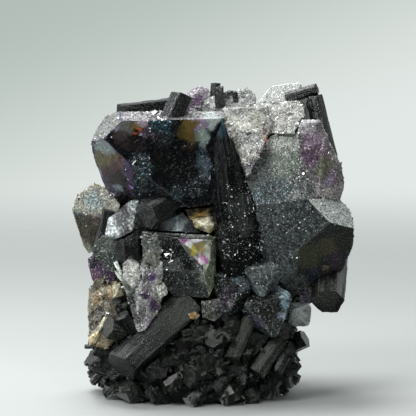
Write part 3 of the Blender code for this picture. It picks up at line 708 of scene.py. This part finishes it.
# The other fluorite crystals
# Cubes and cut cubes of the same fluorite, two to fifteen millimetres wide, grown into each other. Most are
# frosted grey-green, and those at the left foot and at the top are purple. Each row of the two tables is a
# crystal's own colour and then its zones.
FROSTED = {
    "right_upper": [
        (82, 88, 87, 1.0), (4.6, 37.2, 1.4, 128, 130, 126, 1.0), (6.2, 34.6, 1.8, 92, 98, 95, 1.0),
        (8.4, 30.4, 2.4, 68, 78, 80, 1.0), (9.0, 39.2, 1.6, 198, 202, 194, 1.0),
        (11.6, 38.6, 1.2, 176, 180, 174, 1.0), (10.6, 35.6, 1.8, 108, 117, 106, 0.9),
        (13.0, 33.4, 1.6, 76, 82, 80, 0.9), (12.0, 29.6, 1.4, 112, 116, 114, 1.0),
        (15.4, 29.6, 1.2, 104, 104, 106, 1.0),
    ],
    "right_lower": [
        (56, 61, 62, 1.0), (14.0, 21.8, 1.3, 58, 60, 44, 0.04), (16.8, 23.2, 1.1, 64, 60, 46, 0.04),
        (18.2, 20.9, 1.0, 50, 41, 50, 0.05), (15.0, 18.6, 1.0, 38, 44, 56, 0.3),
        (9.0, 24.0, 2.2, 60, 65, 66, 1.0), (8.0, 28.5, 2.0, 66, 71, 72, 1.0),
        (10.6, 19.6, 1.3, 82, 88, 88, 1.0), (12.6, 17.6, 1.2, 60, 64, 64, 0.9),
        (16.8, 20.0, 0.4, 120, 108, 84, 0.9), (11.6, 22.0, 1.0, 70, 76, 76, 1.0),
    ],
    "centre": [
        (50, 53, 50, 0.8), (-9.0, 24.0, 0.9, 108, 110, 104, 1.0), (-8.8, 21.6, 0.9, 120, 121, 114, 1.0),
        (-6.2, 23.2, 1.3, 4, 5, 6, 0.0), (-4.6, 22.6, 1.0, 5, 6, 7, 0.0), (-5.4, 24.4, 0.8, 6, 7, 8, 0.0),
        (-5.4, 21.2, 0.6, 60, 64, 62, 0.7), (-3.4, 21.2, 0.8, 9, 10, 10, 0.05),
        (-3.9, 18.6, 1.3, 44, 48, 46, 0.9), (-6.4, 19.0, 1.0, 34, 37, 35, 0.8),
        (-1.1, 19.2, 0.7, 104, 112, 98, 0.5), (0.3, 22.4, 0.6, 150, 160, 136, 0.8),
        (0.1, 18.4, 0.7, 120, 130, 104, 0.9),
    ],
    "left_green": [(46, 54, 49, 0.5), (-15.6, 23.6, 0.9, 66, 72, 64, 0.5)],
    "left_pale": [
        (122, 122, 108, 0.8), (-18.7, 25.6, 1.8, 78, 72, 60, 0.3), (-16.6, 24.4, 1.6, 58, 54, 42, 0.2),
        (-17.6, 29.4, 0.9, 92, 108, 106, 1.0), (-19.8, 27.4, 0.7, 60, 70, 66, 0.6),
        (-17.4, 26.6, 0.9, 96, 86, 88, 0.4),
    ],
    "triangle": [(76, 82, 82, 1.0), (6.6, 20.4, 0.9, 92, 98, 98, 1.0), (8.2, 18.4, 0.8, 50, 54, 56, 0.8)],
    "pyramid": [
        (150, 160, 162, 0.25), (-3.2, 25.7, 0.9, 40, 45, 49, 0.1), (-7.4, 25.6, 0.8, 96, 102, 102, 0.3),
        (-5.6, 28.2, 0.8, 120, 132, 138, 0.4),
    ],
    "clear": [(150, 158, 156, 0.2)],
    "top_pale": [(150, 154, 150, 0.25), (11.4, 42.4, 1.4, 140, 140, 142, 0.8)],
    "back_middle": [(60, 66, 66, 0.9)],
    "back_right": [(70, 76, 76, 0.9)],
    "back_upper": [(62, 68, 72, 0.8)],
    "radiating": [
        (46, 51, 49, 0.9), (8.0, 14.8, 1.5, 32, 34, 31, 0.8), (10.9, 17.0, 0.8, 128, 150, 158, 1.0),
        (10.6, 15.2, 0.6, 120, 146, 160, 1.0), (10.0, 13.4, 0.6, 126, 132, 150, 1.0),
        (9.4, 18.2, 1.0, 92, 108, 112, 1.0), (5.8, 16.4, 0.8, 26, 28, 28, 0.5),
        (6.6, 12.6, 0.8, 62, 58, 76, 1.0),
    ],
}
PURPLE = {
    "purple_edge": [
        (92, 88, 88, 0.9), (13.4, 41.4, 1.2, 170, 166, 170, 1.0), (14.6, 39.2, 1.1, 124, 106, 124, 0.8),
        (15.6, 37.0, 1.0, 96, 78, 92, 0.7), (14.2, 36.6, 0.8, 82, 60, 82, 0.6),
        (16.2, 34.8, 1.0, 84, 84, 70, 0.6), (17.3, 33.4, 0.8, 122, 108, 130, 0.7),
        (16.4, 30.9, 1.2, 112, 108, 106, 0.9),
    ],
    "white_purple": [
        (132, 132, 130, 1.0), (-8.7, 19.1, 0.6, 86, 58, 104, 0.4), (-9.6, 16.6, 0.6, 74, 50, 84, 0.5),
        (-8.6, 15.6, 0.6, 80, 52, 88, 0.5), (-8.1, 14.8, 0.5, 70, 48, 78, 0.5),
        (-11.6, 19.4, 1.1, 190, 190, 186, 1.0), (-7.6, 17.2, 0.8, 188, 188, 180, 1.0),
        # The dark grey zone at x -12.1, z 15.4 is painted shade on the crystal's lower left.
        (-12.1, 15.4, 0.9, 50, 50, 48, 0.8), (-10.8, 13.4, 0.8, 66, 64, 66, 0.8),
        (-9.0, 12.6, 0.8, 140, 134, 144, 1.0), (-8.4, 21.4, 0.7, 150, 148, 150, 0.9),
    ],
    "dark_purple": [
        (24, 26, 27, 0.7), (3.9, 19.6, 1.0, 70, 108, 122, 1.0), (2.4, 16.4, 0.8, 40, 31, 43, 0.4),
        (3.0, 15.2, 0.4, 92, 76, 88, 0.6), (5.0, 18.2, 0.9, 52, 62, 66, 1.0),
    ],
    "left_purple": [(78, 54, 84, 0.06), (-17.6, 18.4, 0.8, 116, 88, 104, 0.1)],
    "top_rear": [(138, 132, 140, 1.0), (-2.4, 43.8, 0.9, 88, 68, 92, 0.8)],
    "back_side": [(66, 54, 76, 0.7)],
    "back_low": [(60, 48, 70, 0.7)],
}
FLUORITE_LOOKS = {
    "right_lower": [(25, -36, 38, 40, 36, 0.04), (45, 30, 174, 180, 176, 0.9)],
    "centre": [(0, 80, 120, 124, 120, 0.9), (63, 0, 140, 148, 124, 1.0)],
    "triangle": [(80, 0, 22, 24, 26, 0.2)],
}
TWO_LUMPS = {
    "purple_edge": [((15.0, 0.0, 38.4), (0.0, 0.0, 1.0)), ((15.0, 0.0, 36.6), (0.0, 0.0, -1.0))],
    "white_purple": [((-9.0, 0.0, 16.0), (0.0, 0.0, 1.0)), ((-9.0, 0.0, 15.0), (0.0, 0.0, -1.0))],
}
GRAINS_PER_AREA = 16.0
SEE_THROUGH = ("clear", "left_pale", "left_purple")
LIKE_PHANTOM = ("centre", "radiating", "back_upper")
CLEAR_FOG = ((0.62, 0.70, 0.68), 160.0)
frosted_look = stone_finish("frosted_stone")
clear_look = stone_finish("clear_stone", clear=0.55, grain=0.2, glitter=0.6, contrast=1.3, absorbs=CLEAR_FOG)
crystals = {}
for number, (word, (base, *zones)) in enumerate({**FROSTED, **PURPLE}.items()):
    material = clear_look if word in SEE_THROUGH else frosted_look
    slot, relief = ("purple_fluorite", 0.07) if word in PURPLE else ("frosted_fluorite", 0.03)
    if word in LIKE_PHANTOM:
        slot = "phantom_fluorite"
    drawn = dress_crystal("fluorite_" + word, material, slot, base, FLUORITE_LOOKS.get(word, []), zones,
                          relief=relief, seed=10 + 3 * number, cuts=TWO_LUMPS.get(word, (None,)))
    crystals[word] = drawn
    grains = int(len(drawn[1]) * STEP ** 2 / 4 * GRAINS_PER_AREA)
    grow_druse("fluorite_%s_druse" % word, drawn, grains, size=0.15, seed=420 + number, sparkle=0.8)


# Small crystals
# Little crystals that grew in the gaps between the big ones. A glassy one in yellow and pink sits at the
# middle, with dusty and rusty ones round it, and two black ones stand at the rear. Thin white, purple and
# blue splinters lie on some faces: the blue ones are painted glints, and the white ones are partly pale
# crystallites and partly painted sparkle. Pale flakes on the centre crystal are painted highlights.
def block(outline, front, back, peak=None):
    """The body of a small crystal: an outline of (x, z) at two depths y, with or without a peak in front."""
    points = [(x, front, z) for x, z in outline] + [(x, back, z) for x, z in outline]
    return wrap(points + ([peak] if peak else []))


def add_crystals(name, blocks, material, slot, base, zones=(), **more):
    """Small crystals that are drawn in the gaps between the solids."""
    drawn = crystal_skin([block(*body) for body in blocks], base, [], zones, **more)
    add_piece(name, drawn[0], drawn[1], {"tint": drawn[2]}, material)
    return drawn


MIDDLE_GLASS = [
    (-4.0, 24.4, 0.5, 150, 84, 150, 0.1), (-3.2, 23.9, 0.4, 226, 224, 220, 0.3),
    (-2.0, 24.5, 0.6, 226, 220, 226, 0.3), (-2.7, 22.9, 0.5, 186, 176, 78, 0.2),
    (-3.3, 23.1, 0.4, 110, 112, 96, 0.2), (-1.5, 23.4, 0.6, 150, 136, 84, 0.1),
    (-1.9, 21.7, 0.5, 230, 214, 226, 0.2), (-1.3, 21.9, 0.4, 176, 84, 160, 0.1),
    (-0.5, 23.0, 0.6, 186, 190, 180, 0.3), (-1.0, 20.4, 0.7, 168, 176, 156, 0.6),
]
add_crystals("middle_glass", [
    ([(-5.0, 24.9), (0.0, 24.7), (-0.3, 21.4), (-1.2, 19.1)], -12.9, -12.0, (-1.9, -13.4, 22.8)),
], clear_look, "phantom_fluorite", (120, 124, 112, 0.2), MIDDLE_GLASS, step=0.15, seed=601)
plates = add_crystals("middle_plates", [
    ([(-10.1, 25.3), (-7.9, 25.6), (-7.2, 23.0), (-8.0, 20.4), (-9.9, 21.6)], -12.5, -11.5,
     (-8.6, -12.9, 23.6)),
    ([(-12.9, 21.2), (-11.8, 22.3), (-10.5, 21.3), (-10.2, 19.0), (-11.6, 16.6), (-12.9, 18.0)], -12.6, -11.4,
     (-11.6, -13.1, 20.0)),
    ([(-10.4, 20.8), (-9.2, 21.2), (-8.8, 19.6), (-10.0, 18.6)], -12.9, -12.0, (-9.7, -13.3, 20.2)),
    ([(-8.2, 17.9), (-6.8, 18.2), (-6.4, 16.8), (-7.6, 16.0)], -12.4, -11.4, (-7.3, -12.8, 17.2)),
], frosted_look, "frosted_fluorite", (74, 76, 72, 0.6), [
    (-11.7, 19.8, 1.2, 164, 164, 158, 1.0), (-9.6, 19.9, 0.6, 124, 120, 124, 1.0),
    (-7.3, 17.2, 0.8, 164, 164, 156, 1.0), (-9.4, 24.6, 0.6, 50, 53, 51, 0.4),
    (-8.8, 22.0, 0.9, 92, 92, 84, 0.8),
], step=0.2, seed=604)
grow_druse("middle_druse", plates, 900, size=0.2, seed=605, sparkle=0.7)

SPLINTER = (0.3, 0.6, 2.0)
FLAKE = (0.25, 1.0, 1.8)
# The pale splinters here and the two white groups below are partly pale crystallites and partly painted sparkle
# and highlights.
grow_druse("middle_splinters", plates, 160, size=0.34, seed=606, sparkle=0.3,
           shape=SPLINTER, colour=(190, 194, 190))
for number, (where, colour, count) in enumerate([
    (near(-11.2, 19.4, 2.0), (222, 224, 220), 900), (near(-8.0, 17.4, 1.4), (214, 216, 210), 700),
    (near(-10.6, 14.6, 2.0), (30, 30, 30), 700), (near(-9.2, 18.6, 1.6), (96, 66, 116), 300),
]):
    grow_druse("white_splinters_%d" % number, crystals["white_purple"], count,
               size=0.34, seed=620 + number, sparkle=0.4, where=where, shape=SPLINTER, colour=colour)
# Blue and white splinters on the right upper crystal are painted glints, put where it glints blue and white.
for number, (x, z, colour) in enumerate([
    (8.5, 32.3, (90, 190, 225)), (11.0, 32.1, (110, 170, 190)), (13.6, 33.6, (225, 235, 235)),
    (6.9, 30.6, (90, 180, 210)),
]):
    grow_druse("right_glints_%d" % number, crystals["right_upper"], 2400,
               size=0.3, seed=640 + number, sparkle=0.3, where=near(x, z, 0.6), shape=SPLINTER, colour=colour)
# Pale flakes on the black part of the centre crystal stand for its curved highlights: painted highlights.
grow_druse("centre_highlight_flakes", crystals["centre"], 2600, size=0.5, seed=608,
           sparkle=0.2, where=near(-6.2, 22.4, 0.9), shape=FLAKE, colour=(196, 202, 196))
add_crystals("rear_dark", [
    ([(0.3, 46.1), (1.8, 46.3), (1.9, 43.4), (0.5, 43.2)], 5.4, 7.0, (1.1, 5.2, 45.0)),
    ([(3.1, 45.4), (3.9, 45.5), (4.1, 43.8), (3.2, 43.8)], 5.8, 7.0),
], frosted_look, "schorl", (22, 24, 24, 0.5), step=0.25, seed=650)
add_crystals("foot_stones", [
    ([(-1.6, 15.6), (1.0, 16.0), (2.2, 14.2), (0.4, 12.6), (-1.4, 13.2)], -11.6, -9.5, (0.3, -12.4, 14.6)),
    ([(-3.5, 13.8), (-2.4, 14.3), (-1.7, 13.6), (-2.2, 12.9), (-3.2, 13.1)], -12.0, -11.2,
     (-2.6, -12.2, 13.6)),
    ([(-15.6, 13.2), (-14.9, 12.6), (-17.0, 9.0), (-18.1, 8.6), (-18.0, 9.8)], -8.6, -7.2,
     (-16.6, -9.2, 10.8)),
    ([(-14.3, 21.3), (-13.6, 21.5), (-12.7, 19.1), (-13.1, 18.6)], -12.0, -11.0, (-13.4, -12.4, 20.2)),
    ([(-14.6, 17.6), (-13.4, 18.0), (-12.9, 16.2), (-14.4, 15.8)], -9.6, -8.0, (-13.8, -10.2, 17.0)),
], frosted_look, "feldspar", (110, 108, 92, 1.0), [
    (-0.4, 14.4, 1.5, 44, 46, 40, 1.0), (1.2, 14.6, 0.9, 46, 40, 48, 1.0),
    (-2.7, 13.5, 0.7, 120, 92, 54, 1.0),
    (-15.4, 12.4, 0.9, 180, 174, 150, 1.0), (-17.2, 9.6, 1.0, 164, 148, 112, 1.0),
    (-13.5, 20.2, 1.0, 176, 180, 172, 1.0), (-13.8, 17.0, 1.0, 150, 142, 116, 1.0),
], step=0.2, seed=611)
add_crystals("pocket_stones", [
    ([(-3.9, 28.9), (0.2, 29.2), (0.3, 27.6), (-3.2, 27.3)], -10.0, -6.4, (-1.8, -10.6, 28.2)),
    ([(-3.0, 27.6), (0.3, 28.0), (0.9, 26.6), (-0.3, 25.3), (-2.5, 26.2)], -10.6, -6.6, (-1.2, -11.4, 26.8)),
], frosted_look, "feldspar", (150, 136, 90, 0.6), [
    (-1.8, 28.2, 0.7, 150, 116, 48, 0.5), (-1.2, 26.9, 1.0, 196, 192, 168, 0.5),
    # The three dark brown zones along the pocket's top are painted shade under the overhanging phantom crystal;
    # the orange and cream are the stones' own colours.
    (-3.3, 28.6, 0.8, 50, 36, 20, 0.5), (0.2, 28.2, 0.8, 40, 30, 18, 0.5),
    (-1.6, 29.2, 0.5, 60, 44, 22, 0.5), (-1.9, 26.2, 0.4, 90, 76, 50, 0.5),
], step=0.2, seed=607)


# The schorl prisms
# Black tourmaline rods with fine ribs along them, from slim needles to blocks six millimetres wide. They
# grew through and between the fluorite.
SCHORL = (
    "back_left", "back_long", "back_low", "bar_long", "bar_middle", "bar_short", "end_on", "left_block",
    "left_stub", "left_thin", "long", "right_block", "spear", "stub", "top_block", "top_lying", "top_rear",
    "top_rod", "top_upright", "under_silver", "silver",
)
PLAIN_BLACK = (10, 11, 11, 0.3)
SAME_WAY = math.cos(math.radians(15.0))


def rod_axis(corners, faces):
    """The direction that a prism runs in: the mean of its edges that lie within 15 degrees of the longest."""
    edges = np.array([corners[b] - corners[a] for face in faces for a, b in zip(face, face[1:] + face[:1])])
    lengths = np.linalg.norm(edges, axis=1)
    longest = edges[lengths.argmax()] / lengths.max()
    along = edges @ longest
    same = np.abs(along) > SAME_WAY * lengths
    total = (edges[same] * np.sign(along[same])[:, None]).sum(0)
    return total / np.linalg.norm(total)


RIB_HEIGHT = 0.04
RIB_LAYERS = ((0.7, 1.0, 0.03), (0.33, 0.7, 0.05))
ROD_HILLS = ((2.2, 0.05, 2),)
ROD_CHIPS = (0.9, 0.2, 0.3)
ROD_SUNK = 0.03
ROD_EDGE = 0.06
ROD_BLUR = 0.35
DRIFT = 0.04


def dress_schorl(node, material, cuts, seed, looks, zones):
    """Draws a ribbed prism over its solid. The ribs are hills that hardly change along the axis. grain is the
    place with its part along the axis made as short as DRIFT, for the material's own fine ribs."""
    points, triangles, grain, paints, count = [], [], [], [], 0
    for cut in cuts:
        corners, faces, normals, offsets = crystal_faces(node, cut)
        axis = rod_axis(corners, faces)
        body, links = skin(corners, faces, STEP)
        body, outward, edge = soften(body, normals, offsets, ROD_EDGE)
        lengthwise = (body @ axis)[:, None] * axis
        across = body - lengthwise
        side = 1.0 - np.abs(outward @ axis)
        rib = sum(height * lumps(across + drift * lengthwise, size, seed + number)
                  for number, (size, height, drift) in enumerate(RIB_LAYERS))
        height = RIB_HEIGHT * rib * side + hills(body, seed, ROD_HILLS) - RIB_HEIGHT - ROD_SUNK
        body = body + outward * (height - chips(body, edge, *ROD_CHIPS, seed + 3))[:, None]
        points.append(body)
        triangles.append(links + count)
        grain.append(across + DRIFT * lengthwise)
        paints.append(colours_at(body, outward, PLAIN_BLACK, looks, zones, ROD_BLUR))
        count += len(body)
    points, triangles, grain, tint = (np.concatenate(parts) for parts in (points, triangles, grain, paints))
    show(node, points, triangles, {"grain": grain, "tint": tint}, material)
    return points, triangles, tint


def schorl_finish(name, gloss, stripes=0.5, shine=0.5):
    """Glassy tourmaline with fine ribs in its own tint. Where the tint's fourth value is high it is streaked,
    and flecked with pale specks in the colour: partly bright splinters, partly painted glints."""
    stone = Finish(name)
    place = stone.spot()
    grain = stone.painted("grain", "Vector")
    tint = stone.painted("tint")
    flecked = stone.painted("tint", "Alpha")
    streak = stone.cloud(grain, size=0.35, detail=4.0, rough=0.7)
    fine = stone.cloud(grain, size=0.12, detail=3.0, rough=0.6)
    speck = stone.cloud(place, size=0.16, detail=2.0, rough=0.7)
    bright = 1.0 + (streak.between(0.42, 0.75) * 2.4 - 0.5) * stripes + (speck - 0.5) * flecked * 2.0
    colour = stone.scale(tint, bright)
    # Pale specks painted into the colour: partly bright splinters, partly painted glints.
    specks_and_glints = speck.between(0.6, 0.7) * (flecked + 0.1)
    colour = stone.mix(specks_and_glints * 0.7, colour, tone(170, 178, 176))
    rough = gloss + streak.between(0.4, 0.7) * 0.15
    facets = stone.glints(grain, size=0.3, spread=flecked * 0.9 + 0.06)
    bent = stone.bump(fine + streak * 2.0 + speck * flecked * 3.0, depth=0.07, normal=facets)
    look = stone.principled(Base_Color=colour, Roughness=rough, Normal=bent, IOR=1.63,
                            Specular_IOR_Level=shine)
    return stone.surface(look)


SCHORL_LOOKS = {
    # The spear's left faces are painted darker than its right ones: painted shade.
    "spear": [(-40, 5, 2, 3, 3, 0.15), (30, 5, 5, 6, 6, 0.7)],
    "end_on": [(-45, -21, 40, 44, 42, 0.9)],
    "right_block": [(20, -20, 44, 47, 42, 0.7)],
    "top_block": [(-30, 0, 34, 38, 39, 0.7)],
    "top_lying": [(0, 60, 10, 14, 13, 0.1)],
}
SCHORL_ZONES = {
    "spear": [
        (1.4, 40.9, 1.1, 28, 52, 62, 0.5), (1.2, 42.2, 0.8, 60, 96, 108, 0.6),
        (4.2, 29.6, 1.3, 46, 51, 49, 1.0), (4.4, 26.8, 1.2, 50, 54, 51, 1.0), (1.6, 34.0, 1.2, 2, 3, 3, 0.2),
        (2.2, 24.6, 1.6, 14, 15, 14, 1.0), (6.0, 29.6, 0.8, 32, 36, 36, 0.8),
        # The two small pale spots on the spear's left edge are a painted highlight along that edge.
        (-0.1, 35.0, 0.25, 120, 136, 138, 0.5), (-0.1, 37.0, 0.25, 120, 136, 138, 0.5),
    ],
    "under_silver": [(-11.8, 25.4, 1.2, 36, 40, 38, 0.9)],
    # The near-white and grey zones on the silver plate are painted reflection of the lamps on black schorl.
    "silver": [
        (-14.9, 26.6, 1.2, 190, 196, 196, 0.1), (-13.2, 27.4, 1.0, 104, 106, 108, 0.9),
        (-11.6, 27.2, 0.8, 190, 194, 196, 0.6), (-11.2, 29.4, 0.8, 200, 208, 208, 0.1),
        (-12.0, 25.9, 0.6, 84, 80, 86, 0.8),
    ],
    "right_block": [(16.6, 16.2, 1.6, 46, 49, 43, 0.7)],
    "long": [(-8.0, 11.0, 3.0, 34, 37, 33, 0.9), (-3.8, 13.6, 3.0, 58, 62, 56, 1.0)],
    "top_block": [(-7.4, 41.6, 0.8, 30, 48, 54, 0.8)],
    # The lying rod is painted darker and less flecked all over: painted shade that holds back the top lamp's
    # sheen.
    "top_lying": [(-8.0, 43.6, 6.0, 7, 10, 9, 0.1)],
    "bar_long": [(4.4, 10.2, 3.0, 46, 49, 40, 0.6)],
    "bar_middle": [(8.0, 7.0, 2.4, 46, 49, 42, 0.6)],
    "left_block": [(-13.0, 12.0, 3.0, 40, 43, 37, 0.5)],
    "stub": [(-14.4, 11.4, 2.4, 40, 43, 37, 0.5)],
}
WHOLE = (None,)
SPEAR_PARTS = (((2.0, 0.0, 24.5), (0.0, 0.0, -1.0)), ((2.0, 0.0, 24.5), (0.0, 0.0, 1.0)))
black = schorl_finish("black_schorl", gloss=0.12)
# The silver plate's finish. The plate is black schorl; its silver look is painted reflection in its tint zones.
silver = schorl_finish("schorl_with_painted_reflection", gloss=0.15, stripes=1.1)
glassy_black = schorl_finish("spear_schorl", gloss=0.04, stripes=0.2, shine=0.1)
BLACKS = {"silver": silver, "spear": glassy_black, "top_lying": glassy_black}
rods = {}
for number, word in enumerate(SCHORL):
    cuts = SPEAR_PARTS if word == "spear" else WHOLE
    rods[word] = dress_schorl("schorl_" + word, BLACKS.get(word, black), cuts, 200 + 4 * number,
                              SCHORL_LOOKS.get(word, []), SCHORL_ZONES.get(word, []))


SPEAR_FOOT_TOP = 33.0
SPEAR_FOOT_LEFT = 1.6


def spear_foot(places):
    """A test for grow_druse: the lower right part of the spear-shaped prism."""
    return (places[:, 2] < SPEAR_FOOT_TOP) & (places[:, 0] > SPEAR_FOOT_LEFT)


grow_druse("spear_splinters", rods["spear"], 900, size=0.28, seed=610, sparkle=0.6,
           where=spear_foot, shape=SPLINTER, colour=(196, 202, 198))


# The feldspar rock
# The pale granular rock that everything grew from: cream and white feldspar with rusty spots.
def mesh_arrays(mesh):
    """Points in millimetres and triangles of a mesh."""
    mesh.calc_loop_triangles()
    points = np.zeros(3 * len(mesh.vertices))
    mesh.vertices.foreach_get("co", points)
    triangles = np.zeros(3 * len(mesh.loop_triangles), np.int32)
    mesh.loop_triangles.foreach_get("vertices", triangles)
    return points.reshape(-1, 3) / MM, triangles.reshape(-1, 3)


ROCK_STEP = 0.3
ROCK_DEPTH = 0.16
ROCK_LAYERS = ((1.8, 1.0, 0), (0.8, 0.6, 1), (0.4, 0.35, 2))


def rock_mesh(node, seed):
    """A solid's surface in small even faces, pushed in by depth*(1 - hills)."""
    rough = solid_shell(node)
    plain = bpy.data.meshes.new(node + "_plain")
    rough.to_mesh(plain)
    rough.free()
    thing = bpy.data.objects.new(node + "_plain", plain)
    bpy.context.scene.collection.objects.link(thing)
    even = thing.modifiers.new("even", "REMESH")
    even.mode = "VOXEL"
    even.voxel_size = ROCK_STEP * MM
    result = thing.evaluated_get(bpy.context.evaluated_depsgraph_get()).to_mesh()
    points, triangles = mesh_arrays(result)
    outward = np.zeros(3 * len(points))
    result.vertices.foreach_get("normal", outward)
    bpy.data.objects.remove(thing)
    height = ROCK_DEPTH * (hills(points, seed, ROCK_LAYERS) - 1.0)
    return points + outward.reshape(-1, 3) * height[:, None], triangles


ROCKS = {
    # The core's yellow and near-white spots lie in the shadowed pocket and are painted paler than the stone:
    # partly its own colour, partly painted light.
    "core": [(70, 72, 68, 1.0), (-1.7, 28.0, 1.3, 210, 168, 80, 0.8), (-1.3, 26.4, 1.0, 250, 246, 220, 0.8)],
    "left": [
        (128, 122, 104, 1.0), (-15.6, 9.6, 1.2, 160, 150, 124, 1.0), (-14.2, 17.0, 0.9, 176, 158, 118, 1.0),
        (-16.8, 15.2, 0.7, 128, 108, 76, 1.0), (-15.4, 15.6, 0.6, 90, 78, 58, 1.0),
        (-16.4, 16.6, 0.6, 150, 142, 116, 1.0), (-16.6, 11.2, 0.6, 60, 56, 48, 1.0),
        (-17.2, 12.4, 0.9, 84, 78, 66, 1.0), (-16.2, 13.6, 0.7, 60, 58, 54, 1.0),
        (-15.0, 12.6, 0.9, 120, 116, 106, 1.0), (-17.4, 8.6, 0.8, 120, 104, 76, 1.0),
        (-17.2, 17.6, 0.9, 92, 86, 72, 1.0),
    ],
    "top": [
        (140, 142, 136, 1.0), (3.2, 41.0, 0.9, 176, 177, 166, 1.0), (6.0, 41.4, 1.1, 168, 168, 158, 1.0),
        (7.9, 40.2, 0.3, 90, 56, 46, 1.0), (7.8, 39.4, 0.35, 124, 72, 56, 1.0),
        (7.5, 38.4, 0.35, 112, 84, 96, 1.0), (6.8, 37.4, 0.35, 104, 86, 96, 1.0),
        (5.6, 35.6, 0.6, 92, 86, 92, 1.0), (3.8, 38.4, 0.7, 122, 124, 118, 1.0),
        (6.4, 38.4, 0.6, 140, 142, 138, 1.0), (10.8, 42.6, 1.2, 160, 160, 154, 1.0),
        (9.6, 41.0, 1.0, 158, 158, 152, 1.0), (5.0, 36.6, 0.8, 150, 150, 142, 1.0),
    ],
    "top_rear": [
        (134, 136, 134, 1.0), (-2.6, 44.6, 1.0, 84, 78, 88, 1.0), (0.2, 44.0, 1.0, 176, 178, 176, 1.0),
        (2.6, 44.8, 0.7, 54, 56, 56, 1.0), (5.0, 43.6, 1.0, 170, 170, 170, 1.0),
        (6.4, 42.4, 0.7, 70, 70, 72, 1.0), (1.6, 43.0, 0.6, 80, 82, 80, 1.0),
    ],
}
ROCK_GRAINS = 0.36
ROCK_BLUR = 0.5
rock = stone_finish("feldspar_rock", grain=0.2, glitter=0.55, contrast=1.1)
for number, (word, (base, *zones)) in enumerate(ROCKS.items()):
    node = "feldspar_" + word
    points, triangles = rock_mesh(node, 300 + 5 * number)
    colours = colours_at(points, points * 0.0, base, [], zones, ROCK_BLUR)
    show(node, points, triangles, {"tint": colours}, rock)
    grow_druse(node + "_grains", (points, triangles, colours), int(len(triangles) * ROCK_GRAINS),
               size=0.22, seed=460 + number, sparkle=0.5)


# The schorl mat
# The foot of the specimen is a mat of black prisms, one to four millimetres long, side by side.
def mat_finish():
    """The same black tourmaline without a rib direction."""
    stone = Finish("mat_schorl")
    place = stone.spot()
    streak = stone.cloud(place, size=0.5, detail=4.0, rough=0.7)
    speck = stone.cloud(place, size=0.14, detail=2.0, rough=0.7)
    colour = stone.mix(streak.between(0.4, 0.75), tone(11, 12, 12), tone(70, 75, 67))
    colour = stone.mix(speck.between(0.62, 0.72) * 0.5, colour, tone(150, 156, 150))
    bent = stone.bump(streak + speck * 0.5, depth=0.06)
    return stone.surface(stone.principled(Base_Color=colour, Roughness=0.3, Normal=bent, IOR=1.63))


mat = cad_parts["schorl_mat"].data
mat.materials.clear()
mat.materials.append(mat_finish())
RING = 6
TIP_START = 0.86
TIP = (0.15, 0.1, 1.0)


def rod_shape():
    """A six-sided rod along z from -1 to 1: points cos(a), sin(a), with a low pyramid on top."""
    angle = np.arange(RING) * 2.0 * math.pi / RING
    ring = np.stack([np.cos(angle), np.sin(angle), np.zeros(RING)], 1)
    points = np.concatenate([ring + [0, 0, -1.0], ring + [0, 0, TIP_START], [TIP]])
    here = np.arange(RING)
    there = (here + 1) % RING
    sides = np.concatenate([
        np.stack([here, there, there + RING], 1), np.stack([here, there + RING, here + RING], 1),
        np.stack([here + RING, there + RING, np.full(RING, 2 * RING)], 1),
        np.stack([np.zeros(RING - 2, int), here[2:], here[1:-1]], 1),
    ])
    return points, sides


ROD_COLOUR = tone(30, 34, 29)
ROD_SPREAD = 0.35
ROD_SHADES = 0.55
STICK_OUT, LEAN_ABOUT = 0.8, 0.5
RAISED = 0.15
GROUND_GAP = 0.02


def grow_rods(name, node, count, length, width, lean, seed):
    """Small black prisms on a solid. Each runs along STICK_OUT*outward + lean + LEAN_ABOUT*chance, and its
    ring is scaled to its own width and flatness."""
    dice = np.random.default_rng(seed)
    places, outward, _ = spread(*mesh_arrays(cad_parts[node].data), count, dice)
    along = outward * STICK_OUT + np.array(lean) + LEAN_ABOUT * dice.normal(size=(count, 3))
    along /= np.linalg.norm(along, axis=1)[:, None]
    side = np.cross(along, dice.normal(size=(count, 3)))
    side /= np.linalg.norm(side, axis=1)[:, None]
    third = np.cross(along, side)
    half = 0.5 * length * np.exp(ROD_SPREAD * dice.normal(size=count))
    wide = 0.5 * width * np.exp(ROD_SPREAD * dice.normal(size=count))
    flat = wide * dice.uniform(0.5, 1.0, count)
    shape, sides = rod_shape()
    body = (places + along * (RAISED * half)[:, None])[:, None] + (
        shape[:, 0, None] * (side * wide[:, None])[:, None]
        + shape[:, 1, None] * (third * flat[:, None])[:, None]
        + shape[:, 2, None] * (along * half[:, None])[:, None]
    )
    keep = body[:, :, 2].min(1) > GROUND_GAP
    body, along = body[keep], along[keep]
    links = sides + len(shape) * np.arange(len(body))[:, None, None]
    grain = body - (1.0 - DRIFT) * (body @ along[:, :, None]) * along[:, None]
    shade = np.exp(ROD_SHADES * dice.normal(size=len(body)))[:, None] * np.array(ROD_COLOUR)
    tint = np.column_stack([shade, dice.uniform(0.5, 1.0, len(body))]).repeat(len(shape), axis=0)
    paints = {"grain": grain.reshape(-1, 3), "tint": tint}
    add_piece(name, body.reshape(-1, 3), links.reshape(-1, 3), paints, black, False)


grow_rods("mat_prisms", "schorl_mat", 420, length=2.2, width=1.15, lean=(-0.1, 0.0, -0.25), seed=501)
grow_rods("mat_small_prisms", "schorl_mat", 900, length=1.3, width=0.6, lean=(-0.1, 0.0, -0.2), seed=502)
grow_rods("gap_prisms", "feldspar_core", 500, length=1.3, width=0.5, lean=(0.0, -0.2, 0.0), seed=503)
